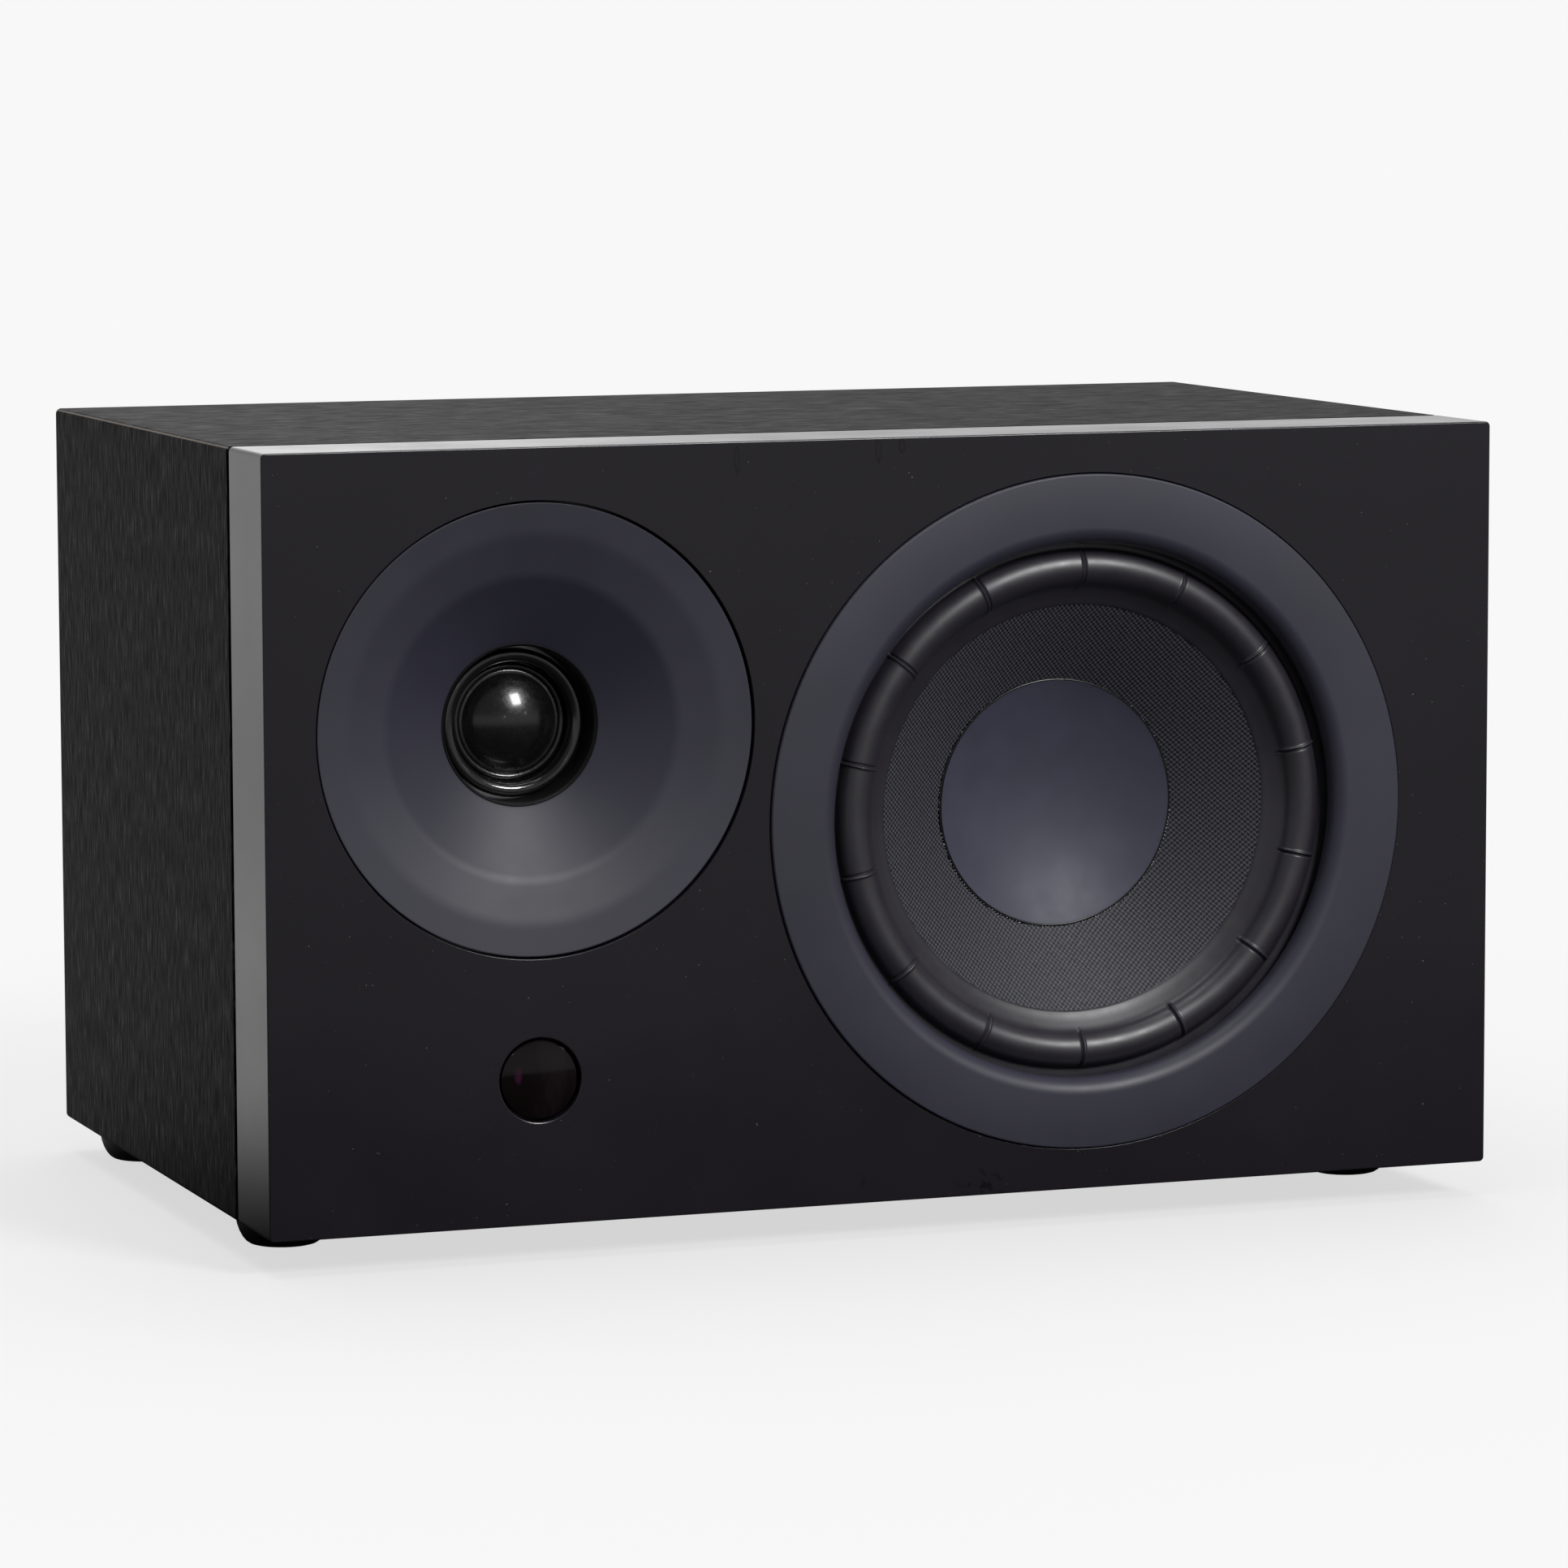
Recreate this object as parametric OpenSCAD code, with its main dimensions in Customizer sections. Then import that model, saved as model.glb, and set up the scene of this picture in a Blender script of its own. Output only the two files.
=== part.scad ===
// Active loudspeaker, lying on its long side: a wrapped wooden cabinet with a thick lacquered
// front board, one bass driver with a ribbed surround, one dome tweeter behind a waveguide,
// a remote control window, a rear bass port, a rear amplifier plate and four rubber feet.
// Millimetres. The origin is at the centre of the foot print, X to the right, Y to the rear, Z up.

/* [Cabinet] */
// Outer width of cabinet and front board
body_w = 340; // [330:1:360]
// Outer height without the feet
body_h = 200; // [196:1:210]
// Outer depth from the front board's face to the rear
body_d = 210; // [200:1:230]
// Thickness of the four wrapped walls
wall_t = 15; // [13:1:16]
// Thickness of the rear board
rear_t = 15; // [13:1:18]
// Rounding of the folded long edges of the walls
fold_r = 1.5; // [1:0.25:3]
// Width of the inner brace
brace_t = 12; // [10:1:15]
// Radius of the two windows in the brace
brace_window_r = 15; // [10:1:16]
// Thickness of the damping sheet on the left wall
sheet_t = 10; // [6:1:12]

/* [Front board] */
// Thickness of the front board
baffle_t = 30; // [27:1:33]
// Rounding of the board's four corners, seen from the front
corner_r = 2.5; // [1.5:0.5:5]
// Rounding of the board's front edges
edge_r = 1; // [0.5:0.25:1.25]
// Width of the dark joint between board and cabinet
seam_w = 2; // [1:0.5:3]
// How far the joint's gasket is set in from the outline
seam_in = 4; // [2:0.5:6]

/* [Bass driver] */
// Driver centre, right of the middle
woofer_x = 54.4; // [50:0.2:62]
// Outer radius of the trim ring
ring_r = 89.1; // [86:0.1:90]
// Gap around the trim ring
ring_gap = 0.3; // [0.3:0.05:0.8]
// How far the ring stands out of the board
ring_proud = 0.8; // [0.3:0.1:1.5]
// Radius where the ring's flat face ends
ring_flat_r = 75; // [74.6:0.1:75.6]
// Radius of the rounded inner lip of the ring
ring_lip_r = 4.4; // [4:0.1:4.8]
// Depth of the surround's outer foot behind the board's face
foot_d = 7.3; // [7:0.1:7.6]
// Outer radius of the surround's roll
roll_out_r = 68.8; // [68.2:0.1:69]
// Inner radius of the surround's roll
roll_in_r = 59.2; // [58.8:0.1:59.8]
// Height of the roll above its feet
roll_h = 3.9; // [3.4:0.1:4.1]
// Thickness of the surround's rubber
rubber_t = 0.8; // [0.6:0.1:1]
// Number of ribs across the roll
rib_count = 14; // [12:1:16]
// Width of one rib in degrees
rib_deg = 1.5; // [1:0.25:2.5]
// How far a rib stands out of the roll
rib_h = 0.35; // [0.2:0.05:0.5]
// Outer radius of the woven cone
cone_r = 54.2; // [53.5:0.1:55]
// Depth of the cone's rim behind the board's face
cone_d = 10.5; // [10:0.1:11.5]
// Fall of the cone for each millimetre inwards
cone_slope = 0.656; // [0.6:0.01:0.7]
// Thickness of the cone
cone_t = 0.8; // [0.6:0.1:1]
// Radius of the dust cap
cap_r = 32.6; // [30:0.1:34]
// Hollow of the dust cap from rim to centre
cap_hollow = 8; // [6:0.5:9]
// Thickness of the dust cap
cap_t = 0.8; // [0.5:0.1:1]
// Travel of the cone each way from rest
cone_travel = 4; // [2:0.5:4]
// Voice coil former, inner radius
former_r = 19; // [18.5:0.1:19.5]
// Thickness of the flange of the basket
flange_t = 4; // [3:0.5:5]
// Radius of the basket's neck behind the flange
neck_r = 76; // [75.5:0.1:76.5]
// Number of spokes of the basket
spoke_count = 6; // [4:1:8]
// Width of one spoke in degrees
spoke_deg = 16; // [12:1:20]
// Depth of the basket's magnet seat behind the board's face
seat_d = 54; // [52:1:58]
// Radius of the bass magnet
magnet_r = 50; // [46:1:52]
// Thickness of the bass magnet
magnet_t = 15; // [12:1:18]
// Thickness of the front pole plate
pole_plate_t = 6; // [5:0.5:8]
// Thickness of the rear pole plate
back_plate_t = 7; // [5:0.5:8]
// Circle radius of the driver's screws
screw_ring_r = 82.5; // [81:0.1:83]
// Number of the driver's screws
screw_count = 8; // [6:1:8]

/* [Tweeter] */
// Tweeter centre, left of the middle
tweeter_x = -97.7; // [-104:0.1:-96]
// Height of the tweeter's centre above the cabinet's bottom
tweeter_z = 127.6; // [122:0.1:130]
// Outer radius of the waveguide
guide_r = 58.2; // [56:0.1:59]
// Gap around the waveguide
guide_gap = 0.55; // [0.3:0.05:0.9]
// How far the waveguide is set back
guide_in = 0.9; // [0.4:0.1:1.5]
// How far the waveguide's rim falls inwards
guide_fall = 0.7; // [0:0.1:1]
// Thickness of the waveguide's rim
guide_t = 5; // [4:0.5:6]
// Radius where the waveguide's flat rim ends
guide_flat_r = 50; // [48:0.5:51]
// Radius of the second crease
guide_mid_r = 39; // [37:0.5:40]
// Depth of the second crease behind the board's face
guide_mid_d = 4.4; // [3.8:0.1:5]
// Radius of the throat
throat_r = 21; // [20.5:0.1:22]
// Depth of the throat's mouth behind the board's face
throat_d = 15; // [13:0.5:16]
// Bulge of the flare's curve
flare_bulge = 1.3; // [0.8:0.1:1.6]
// Radius of the dome
dome_r = 12.7; // [12.5:0.05:12.8]
// Height of the dome
dome_h = 5.5; // [4.5:0.1:6]
// Depth of the dome's edge behind the board's face
dome_d = 24.5; // [24.2:0.1:24.8]
// Travel of the dome each way from rest
dome_travel = 0.4; // [0.2:0.05:0.5]
// Outer radius of the glossy ring around the dome
gloss_r = 19.3; // [18.8:0.1:19.6]
// Inner radius of the glossy ring
gloss_in_r = 15.5; // [15.4:0.1:15.8]
// Radius of the tweeter's magnet
tmag_r = 31.5; // [28:0.5:31.5]
// Thickness of the tweeter's magnet
tmag_t = 10; // [8:0.5:12]

/* [Remote window] */
// Height of the window's centre above the cabinet's bottom
window_z = 37.6; // [34:0.1:42]
// Radius of the hole in the front board
window_r = 11; // [10:0.1:12]
// Gap around the window's lens
window_gap = 0.7; // [0.4:0.05:1]
// How far the lens is set back
window_in = 1; // [0.5:0.1:1.5]

/* [Feet] */
// Radius of a foot
foot_r = 12.5; // [11:0.5:14]
// Height of a foot
foot_h = 9.5; // [8:0.5:12]
// Distance of the feet from the sides
foot_side = 18; // [17:1:24]
// Distance of the front feet from the board's face
foot_front = 51; // [48:1:60]
// Distance of the rear feet from the rear
foot_rear = 18; // [17:1:24]

/* [Bass port] */
// Distance of the port's centre from the left side
port_side = 60; // [58:1:66]
// Height of the port's centre above the cabinet's bottom
port_z = 112; // [105:1:120]
// Inner radius of the port
port_r = 20; // [17:0.5:21]
// Length of the port
port_len = 105; // [90:1:110]
// Radius of the port's flared mouth
port_flare = 10; // [8:0.5:12]

/* [Amplifier plate] */
// Width of the plate
plate_w = 180; // [176:1:184]
// Height of the plate
plate_h = 120; // [118:1:126]
// Thickness of the plate
plate_t = 3; // [2.5:0.5:3]
// Distance of the plate's right edge from the right side
plate_side = 28; // [24:1:29]
// Height of the plate's centre above the cabinet's bottom
plate_z = 92; // [88:1:100]
// Length of the cinch sockets behind the plate
cinch_out = 9; // [7:0.5:10]
// Swing of the power rocker to either side
rocker_swing = 8; // [6:0.5:8]
// Travel of the set-up button
button_travel = 0.8; // [0.4:0.1:0.8]

/* [Hidden] */

$fn = 72;
round_fn = 120;
small_fn = 32;
over = 1;

// The front board's face, placed so that the whole depth is centred on the origin.
front_y = -(body_d + cinch_out - ring_proud) / 2;
rear_y = front_y + body_d;
shell_d = baffle_t + seam_w;
cavity_w = body_w - 2 * wall_t;
cavity_h = body_h - 2 * wall_t;
woofer_z = body_h / 2;

// Bass driver, depths behind the board's face.
flange_d = foot_d + rubber_t;
flange_back_d = flange_d + flange_t;
flange_r = ring_r - 1.1;
ring_seat_r = ring_flat_r - 0.3;
ledge_r = roll_out_r + 0.6;
basket_hole_r = neck_r + 1;
bevel_r = basket_hole_r + 9;
bevel_t = 12;
roll_mid_r = (roll_out_r + roll_in_r) / 2;
roll_half = (roll_out_r - roll_in_r) / 2;
roll_arc_r = (roll_half * roll_half + roll_h * roll_h) / (2 * roll_h);
roll_centre_d = foot_d - roll_h + roll_arc_r;
neck_end_d = flange_back_d + 6;
spoke_t = 3.5;
seat_t = 4;
seat_r = magnet_r + 2;
ledge_in_r = 42.5;
spider_d = seat_d - 14;
spider_t = 0.6;
spider_wave = 1.1;
spider_waves = 7;
spider_r = ledge_in_r + 3.5;
former_t = 0.5;
former_out_r = former_r + former_t;
neck_d = cone_d + (cone_r - former_r) * cone_slope + 0.6;
coil_gap = 0.05;
coil_t = 0.65;
coil_l = pole_plate_t + 2 * cone_travel;
coil_d = seat_d + pole_plate_t / 2 - coil_l / 2;
former_end_d = coil_d + coil_l + 0.5;
air_gap = 0.6;
pole_r = former_r - air_gap;
pole_top_d = seat_d - 2;
magnet_d = seat_d + pole_plate_t;
yoke_d = magnet_d + magnet_t;
vent_r = 5;
screw_r = 1.8;
screw_hole_r = 2.1;
head_r = 3.6;
head_h = 2.2;
screw_l = 12;
glue = 0.3;
cap_rim_d = cone_d + (cone_r - cap_r) * cone_slope - glue - cap_t;
cap_arc_r = (cap_r * cap_r + cap_hollow * cap_hollow) / (2 * cap_hollow);
cap_centre_d = cap_rim_d + cap_hollow - cap_arc_r;

// Tweeter, depths behind the board's face.
guide_back_d = guide_in + guide_t;
guide_hole_r = 41;
guide_neck_r = guide_hole_r - 0.8;
flare_dr = guide_mid_r - throat_r;
flare_dd = throat_d - guide_mid_d;
flare_chord = sqrt(flare_dr * flare_dr + flare_dd * flare_dd);
flare_arc_r = (flare_chord * flare_chord / 4 + flare_bulge * flare_bulge) / (2 * flare_bulge);
flare_offset = flare_arc_r - flare_bulge;
flare_c_r = (guide_mid_r + throat_r) / 2 + flare_offset * flare_dd / flare_chord;
flare_c_d = (guide_mid_d + throat_d) / 2 + flare_offset * flare_dr / flare_chord;
tplate_d = 26.5;
tplate_t = 4;
tplate_r = 38;
tflange_d = tplate_d - 4;
tflange_t = 0.6;
membrane_t = 0.4;
dome_arc_r = (dome_r * dome_r + dome_h * dome_h) / (2 * dome_h);
dome_centre_d = dome_d - dome_h + dome_arc_r;
dome_lip_r = dome_r + 0.7;
tcoil_in_r = dome_r - 0.35;
tcoil_out_r = dome_r + 0.25;
tcoil_d = dome_d + membrane_t;
tcoil_l = 6.5;
tgap_out_r = tcoil_out_r + 0.45;
tgap_in_r = tcoil_in_r - 0.4;
troll_r = (gloss_in_r - 0.1 - dome_lip_r) / 2;
troll_mid_r = dome_lip_r + troll_r;
troll_d = tcoil_d + 0.5;
tmag_d = tplate_d + tplate_t;
tmag_in_r = 18;
tyoke_d = tmag_d + tmag_t;
tyoke_t = 5;
tcup_d = tyoke_d + tyoke_t;
tcup_r = tmag_r - 3;
tcup_l = 14;
tcup_t = 2;
tscrew_ring_r = 35;
tscrew_r = 1.3;
gloss_crest_d = 20.2;

// Remote window, depths behind the board's face.
lens_r = window_r - window_gap;
lens_seat_d = 8;
lens_flange_t = 3;
lens_flange_r = 15.5;
receiver_hole_r = 16;
receiver_w = 40;
receiver_h = 26;
pcb_t = 1.6;

// Rear side, depths measured inwards from the rear face.
port_x = port_side - body_w / 2;
plate_x = body_w / 2 - plate_side - plate_w / 2;
port_wall = 2.5;
port_mouth_r = port_r + port_flare;
port_flange_r = port_mouth_r + 5;
port_flange_t = 3;
cut_in = 8;
plate_screw_in = 4;
corner_screw_x = plate_w / 2 - plate_screw_in;
corner_screw_z = plate_h / 2 - plate_screw_in;
plate_back = -plate_t;
board_gap = 10;
input_gap = 14;
socket_v = -36;
inlet_u = 60;
rocker_u = 60;
rocker_v = -6;
cinch_u = [-24, -10];
network_u = -50;
line_u = 10;
button_u = 30;
rocker_pivot_o = -1;
rocker_half = 8.2;
rocker_w = 10.4;
rocker_room_half = 9.1;
rocker_room_w = 10.8;
rocker_room_o = -5.2;
rocker_axle_r = 1.2;
rocker_axle_l = 0.9;
rocker_wall = 1.3;
button_r = 3.2;
button_out = 1.2;
board_post_r = 3;
post_in = 4;
amp_board_u = -36;
amp_board_v = 22;
amp_board_w = 72;
amp_board_h = 48;
chip_u = [-24, -8];
chip_v = 8;
chip_w = 10;
chip_h = 12;
chip_t = 9;
heat_w = 48;
heat_h = 12;
heat_v = amp_board_v - 4;
power_board_u = 38;
power_board_v = 26;
power_board_w = 68;
power_board_h = 40;
transformer_u = power_board_u - 14;
transformer_v = power_board_v + 2;
core_w = 26;
core_h = 22;
core_t = 24;
winding_w = 18;
winding_h = 30;
winding_in = 3;
can_u = power_board_u + 18;
can_v = power_board_v + 2;
can_r = 8;
can_l = 28;
can_gap = 2;
input_board_u = -13;
input_board_w = 98;
input_board_h = 24;
radio_u = 8;
radio_w = 26;
radio_h = 18;
radio_t = 3.2;
lead_in = 3;
lead_r = 0.9;
bend_r = 5;

function at(r, d) = [r, -d];

// A solid of revolution about the Y axis, drawn as radius and depth.
module turned() {
  rotate([90, 0, 0]) rotate_extrude($fn = round_fn) children();
}

// A part of a revolution, centred on an angle that counts from +X towards +Z.
module turned_part(middle, width) {
  rotate([90, 0, 0]) rotate([0, 0, middle - width / 2]) rotate_extrude(angle = width, $fn = round_fn) children();
}

// A cylinder along Y between two depths.
module disc(r, d0, d1) {
  translate([0, d1, 0]) rotate([90, 0, 0]) cylinder(r = r, h = d1 - d0, $fn = r > 6 ? round_fn : small_fn);
}

module box(x0, x1, y0, y1, z0, z1) {
  translate([x0, y0, z0]) cube([x1 - x0, y1 - y0, z1 - z0]);
}

module at_woofer() {
  translate([woofer_x, front_y, foot_h + woofer_z]) children();
}

module at_tweeter() {
  translate([tweeter_x, front_y, foot_h + tweeter_z]) children();
}

module at_window() {
  translate([tweeter_x, front_y, foot_h + window_z]) children();
}

module at_port() {
  translate([port_x, rear_y, foot_h + port_z]) children();
}

module at_plate(u, v) {
  translate([plate_x + u, rear_y, foot_h + plate_z + v]) children();
}

module around(count, r) {
  for (i = [0 : count - 1]) rotate([0, -(i + 0.5) * 360 / count, 0]) translate([r, 0, 0]) children();
}

module rounded(w, h, r) {
  square([w - 2 * r, h], center = true);
  square([w, h - 2 * r], center = true);
  for (x = [-1, 1]) for (y = [-1, 1]) translate([x * (w / 2 - r), y * (h / 2 - r)]) circle(r = r, $fn = small_fn);
}

// Rectangle from depth 0 to its length whose two corners at depth 0 are rounded.
module soft_front(l, h, r) {
  translate([r, -h / 2]) square([l - r, h]);
  translate([0, r - h / 2]) square([l, h - 2 * r]);
  for (y = [-1, 1]) translate([r, y * (h / 2 - r)]) circle(r = r, $fn = small_fn);
}

module cabinet_shell() {
  color([0.19, 0.18, 0.18]) translate([0, front_y + body_d, foot_h + body_h / 2]) difference() {
    rotate([90, 0, 0]) linear_extrude(body_d - shell_d) rounded(body_w, body_h, fold_r);
    translate([0, over, 0]) rotate([90, 0, 0]) linear_extrude(body_d - shell_d + 2 * over)
      square([cavity_w, cavity_h], center = true);
    for (x = [-1, 1]) for (y = [foot_front, body_d - foot_rear])
      translate([x * (body_w / 2 - foot_side), y - body_d, -body_h / 2 - over]) cylinder(r = screw_hole_r, h = 12, $fn = small_fn);
  }
}

module rear_board() {
  color([0.1, 0.1, 0.1]) difference() {
    box(-cavity_w / 2, cavity_w / 2, rear_y - rear_t, rear_y, foot_h + wall_t, foot_h + body_h - wall_t);
    at_port() disc(port_mouth_r + 0.6, -rear_t - over, over);
    at_port() disc(port_flange_r + 0.3, -port_flange_t, over);
    at_plate(0, 0) box(cut_in - plate_w / 2, plate_w / 2 - cut_in, -rear_t - over, over, cut_in - plate_h / 2, plate_h / 2 - cut_in);
    at_plate(0, 0) box(-plate_w / 2 - 0.3, plate_w / 2 + 0.3, -plate_t, over, -plate_h / 2 - 0.3, plate_h / 2 + 0.3);
    plate_screw_places() disc(screw_hole_r, -rear_t + 1, 0);
  }
}

module front_baffle() {
  color([0.13, 0.12, 0.13]) difference() {
    translate([0, front_y, foot_h + body_h / 2]) intersection() {
      translate([0, baffle_t, 0]) rotate([90, 0, 0]) linear_extrude(baffle_t) rounded(body_w, body_h, corner_r);
      rotate([90, 0, 90]) linear_extrude(body_w + 2 * over, center = true) soft_front(baffle_t, body_h, edge_r);
      rotate([0, 0, 90]) linear_extrude(body_h + 2 * over, center = true) soft_front(baffle_t, body_w, edge_r);
    }
    at_woofer() disc(ring_r + ring_gap, -over, flange_back_d);
    at_woofer() disc(basket_hole_r, 0, baffle_t + over);
    at_woofer() turned() polygon([
      at(0, baffle_t - bevel_t), at(basket_hole_r, baffle_t - bevel_t), at(bevel_r, baffle_t),
      at(bevel_r, baffle_t + over), at(0, baffle_t + over)
    ]);
    at_woofer() around(screw_count, screw_ring_r) disc(screw_hole_r, 0, flange_back_d + screw_l - flange_t);
    at_tweeter() disc(guide_r + guide_gap, -over, guide_back_d);
    at_tweeter() disc(guide_hole_r, 0, baffle_t + over);
    at_window() disc(window_r, -over, baffle_t);
    at_window() disc(receiver_hole_r, lens_seat_d, baffle_t + over);
    for (x = [-1, 1]) at_window() translate([x * (receiver_w / 2 - 2.5), 0, 0]) disc(1.2, baffle_t - 8, baffle_t + over);
  }
}

module seam_gasket() {
  color([0.03, 0.03, 0.03]) translate([0, front_y + baffle_t, foot_h + body_h / 2]) difference() {
    box(seam_in - body_w / 2, body_w / 2 - seam_in, 0, seam_w, seam_in - body_h / 2, body_h / 2 - seam_in);
    box(-cavity_w / 2, cavity_w / 2, -over, seam_w + over, -cavity_h / 2, cavity_h / 2);
  }
}

module inner_brace() {
  brace_x = plate_x - plate_w / 2 + cut_in - brace_t;
  color([0.55, 0.43, 0.3]) difference() {
    box(brace_x, brace_x + brace_t, front_y + body_d / 2 - 8, rear_y - rear_t, foot_h + wall_t, foot_h + body_h - wall_t);
    for (z = [0.32, 0.68]) translate([brace_x - over, front_y + body_d / 2 + 44, foot_h + body_h * z])
      rotate([0, 90, 0]) cylinder(r = brace_window_r, h = brace_t + 2 * over);
  }
}

module damping_sheet() {
  color([0.75, 0.75, 0.72]) box(-cavity_w / 2, sheet_t - cavity_w / 2, front_y + shell_d + 30, rear_y - rear_t - 6,
    foot_h + wall_t, foot_h + body_h - wall_t);
}

module woofer_trim_ring() {
  color([0.2, 0.2, 0.22]) at_woofer() turned() {
    translate(at(ring_seat_r, flange_d)) square([ring_r - ring_seat_r, flange_d + ring_proud - 0.5]);
    translate(at(ring_flat_r, 0)) square([ring_r - ring_flat_r - 0.5, ring_proud]);
    translate(at(ring_r - 0.5, 0.5 - ring_proud)) circle(r = 0.5, $fn = small_fn);
    intersection() {
      translate(at(ring_flat_r, ring_lip_r - ring_proud)) circle(r = ring_lip_r, $fn = round_fn);
      translate(at(ring_flat_r - ring_lip_r, foot_d)) square([ring_lip_r, foot_d + ring_proud]);
    }
  }
}

module woofer_basket() {
  spoke_in = ledge_in_r + 4;
  color([0.12, 0.12, 0.12]) at_woofer() {
    difference() {
      turned() polygon([
        at(ledge_r, flange_d), at(flange_r, flange_d), at(flange_r, flange_back_d), at(neck_r, flange_back_d),
        at(neck_r, neck_end_d), at(neck_r - spoke_t, neck_end_d), at(neck_r - spoke_t, flange_back_d + 1.5),
        at(ledge_r, flange_back_d - 1)
      ]);
      around(screw_count, screw_ring_r) disc(screw_hole_r, 0, flange_back_d + over);
      around(screw_count, screw_ring_r) disc(head_r + 0.4, 0, flange_d + head_h);
    }
    turned() polygon([
      at(former_out_r + 2, seat_d - seat_t), at(ledge_in_r + 2, seat_d - seat_t), at(ledge_in_r + 2, spider_d + spider_t + 2),
      at(ledge_in_r, spider_d + spider_t + 2), at(ledge_in_r, spider_d + spider_t), at(ledge_in_r + 5, spider_d + spider_t),
      at(ledge_in_r + 5, seat_d - seat_t), at(seat_r, seat_d - seat_t), at(seat_r, seat_d), at(former_out_r + 2, seat_d)
    ]);
    for (i = [0 : spoke_count - 1]) turned_part(90 + i * 360 / spoke_count, spoke_deg) polygon([
      at(neck_r - spoke_t + 0.6, neck_end_d - 4), at(neck_r - 0.6, neck_end_d - 4), at(neck_r - 0.6, neck_end_d - 1.2),
      at(seat_r - 0.6, seat_d - seat_t - 2), at(seat_r - 0.6, seat_d - 1), at(spoke_in, seat_d - 1), at(spoke_in, seat_d - seat_t - 4)
    ]);
  }
}

module woofer_screws() {
  color([0.35, 0.35, 0.36]) at_woofer() around(screw_count, screw_ring_r) difference() {
    union() {
      disc(head_r, flange_d + 0.2, flange_d + head_h);
      disc(screw_r, flange_d + head_h - 0.5, flange_back_d + screw_l - flange_t - 1);
    }
    disc(1.2, 0, flange_d + 1.4);
  }
}

// Half roll between its two feet.
module roll_section() {
  intersection() {
    difference() {
      translate(at(roll_mid_r, roll_centre_d)) circle(r = roll_arc_r, $fn = round_fn);
      translate(at(roll_mid_r, roll_centre_d)) circle(r = roll_arc_r - rubber_t, $fn = round_fn);
    }
    translate(at(roll_in_r, foot_d)) square([roll_out_r - roll_in_r, roll_h + 2 * rib_h]);
  }
}

// Raised bead across the roll, rooted in the middle of the rubber.
module rib_section() {
  intersection() {
    difference() {
      translate(at(roll_mid_r, roll_centre_d)) circle(r = roll_arc_r + rib_h, $fn = round_fn);
      translate(at(roll_mid_r, roll_centre_d)) circle(r = roll_arc_r - rubber_t / 2, $fn = round_fn);
    }
    translate(at(roll_in_r + 0.4, foot_d - 0.3)) square([roll_out_r - roll_in_r - 0.8, roll_h + 2 * rib_h]);
  }
}

module woofer_surround() {
  color([0.16, 0.16, 0.17]) at_woofer() {
    turned() {
      roll_section();
      translate(at(roll_out_r - rubber_t, foot_d + rubber_t)) square([ring_seat_r - 0.6 - roll_out_r + rubber_t, rubber_t]);
      polygon([
        at(roll_in_r, foot_d), at(cone_r, cone_d), at(cone_r + rubber_t + 0.2, cone_d),
        at(roll_in_r + rubber_t, foot_d + rubber_t), at(roll_in_r + rubber_t, foot_d)
      ]);
    }
    for (i = [0 : rib_count - 1]) turned_part(90 + i * 360 / rib_count, rib_deg) rib_section();
  }
}

module woofer_cone() {
  color([0.14, 0.14, 0.15]) at_woofer() turned() polygon([
    at(cone_r, cone_d), at(former_r, neck_d - 0.6), at(former_r, neck_d), at(former_out_r + 1, neck_d),
    at(cone_r + cone_t * 1.5, cone_d)
  ]);
}

module woofer_dust_cap() {
  color([0.25, 0.26, 0.29]) at_woofer() turned() intersection() {
    difference() {
      translate(at(0, cap_centre_d)) circle(r = cap_arc_r + cap_t, $fn = 2 * round_fn);
      translate(at(0, cap_centre_d)) circle(r = cap_arc_r, $fn = 2 * round_fn);
    }
    translate(at(0, cap_rim_d + cap_hollow + 2 * cap_t)) square([cap_r, cap_hollow + 2 * cap_t]);
  }
}

module woofer_coil_former() {
  color([0.7, 0.6, 0.35]) at_woofer() difference() {
    disc(former_out_r, neck_d, former_end_d);
    disc(former_r, neck_d - over, former_end_d + over);
  }
}

module woofer_voice_coil() {
  color([0.7, 0.4, 0.2]) at_woofer() difference() {
    disc(former_out_r + coil_gap + coil_t, coil_d, coil_d + coil_l);
    disc(former_out_r + coil_gap, coil_d - over, coil_d + coil_l + over);
  }
}

module woofer_spider() {
  inner = former_out_r + 0.3;
  outer = ledge_in_r;
  steps = spider_waves * 6;
  function wave(i) = spider_wave * sin(360 * i / 6);
  function along(i) = inner + 0.8 + (outer - inner - 0.8) * i / steps;
  color([0.65, 0.5, 0.25]) at_woofer() turned() polygon(concat(
    [at(inner, spider_d)], [for (i = [0 : steps]) at(along(i), spider_d - wave(i))],
    [at(spider_r, spider_d), at(spider_r, spider_d + spider_t)],
    [for (i = [steps : -1 : 0]) at(along(i), spider_d + spider_t - wave(i))], [at(inner, spider_d + spider_t)]
  ));
}

module woofer_pole_plate() {
  color([0.4, 0.4, 0.42]) at_woofer() difference() {
    disc(magnet_r - 2, seat_d, seat_d + pole_plate_t);
    disc(former_out_r + coil_gap + coil_t + air_gap, seat_d - over, seat_d + pole_plate_t + over);
  }
}

module woofer_magnet() {
  color([0.09, 0.09, 0.1]) at_woofer() difference() {
    disc(magnet_r, magnet_d, yoke_d);
    disc(former_out_r + 8, magnet_d - over, yoke_d + over);
  }
}

module woofer_yoke() {
  color([0.4, 0.4, 0.42]) at_woofer() difference() {
    union() {
      disc(magnet_r - 3, yoke_d, yoke_d + back_plate_t);
      disc(pole_r, pole_top_d, yoke_d + 1);
    }
    disc(vent_r, pole_top_d - over, yoke_d + back_plate_t + over);
  }
}

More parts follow.
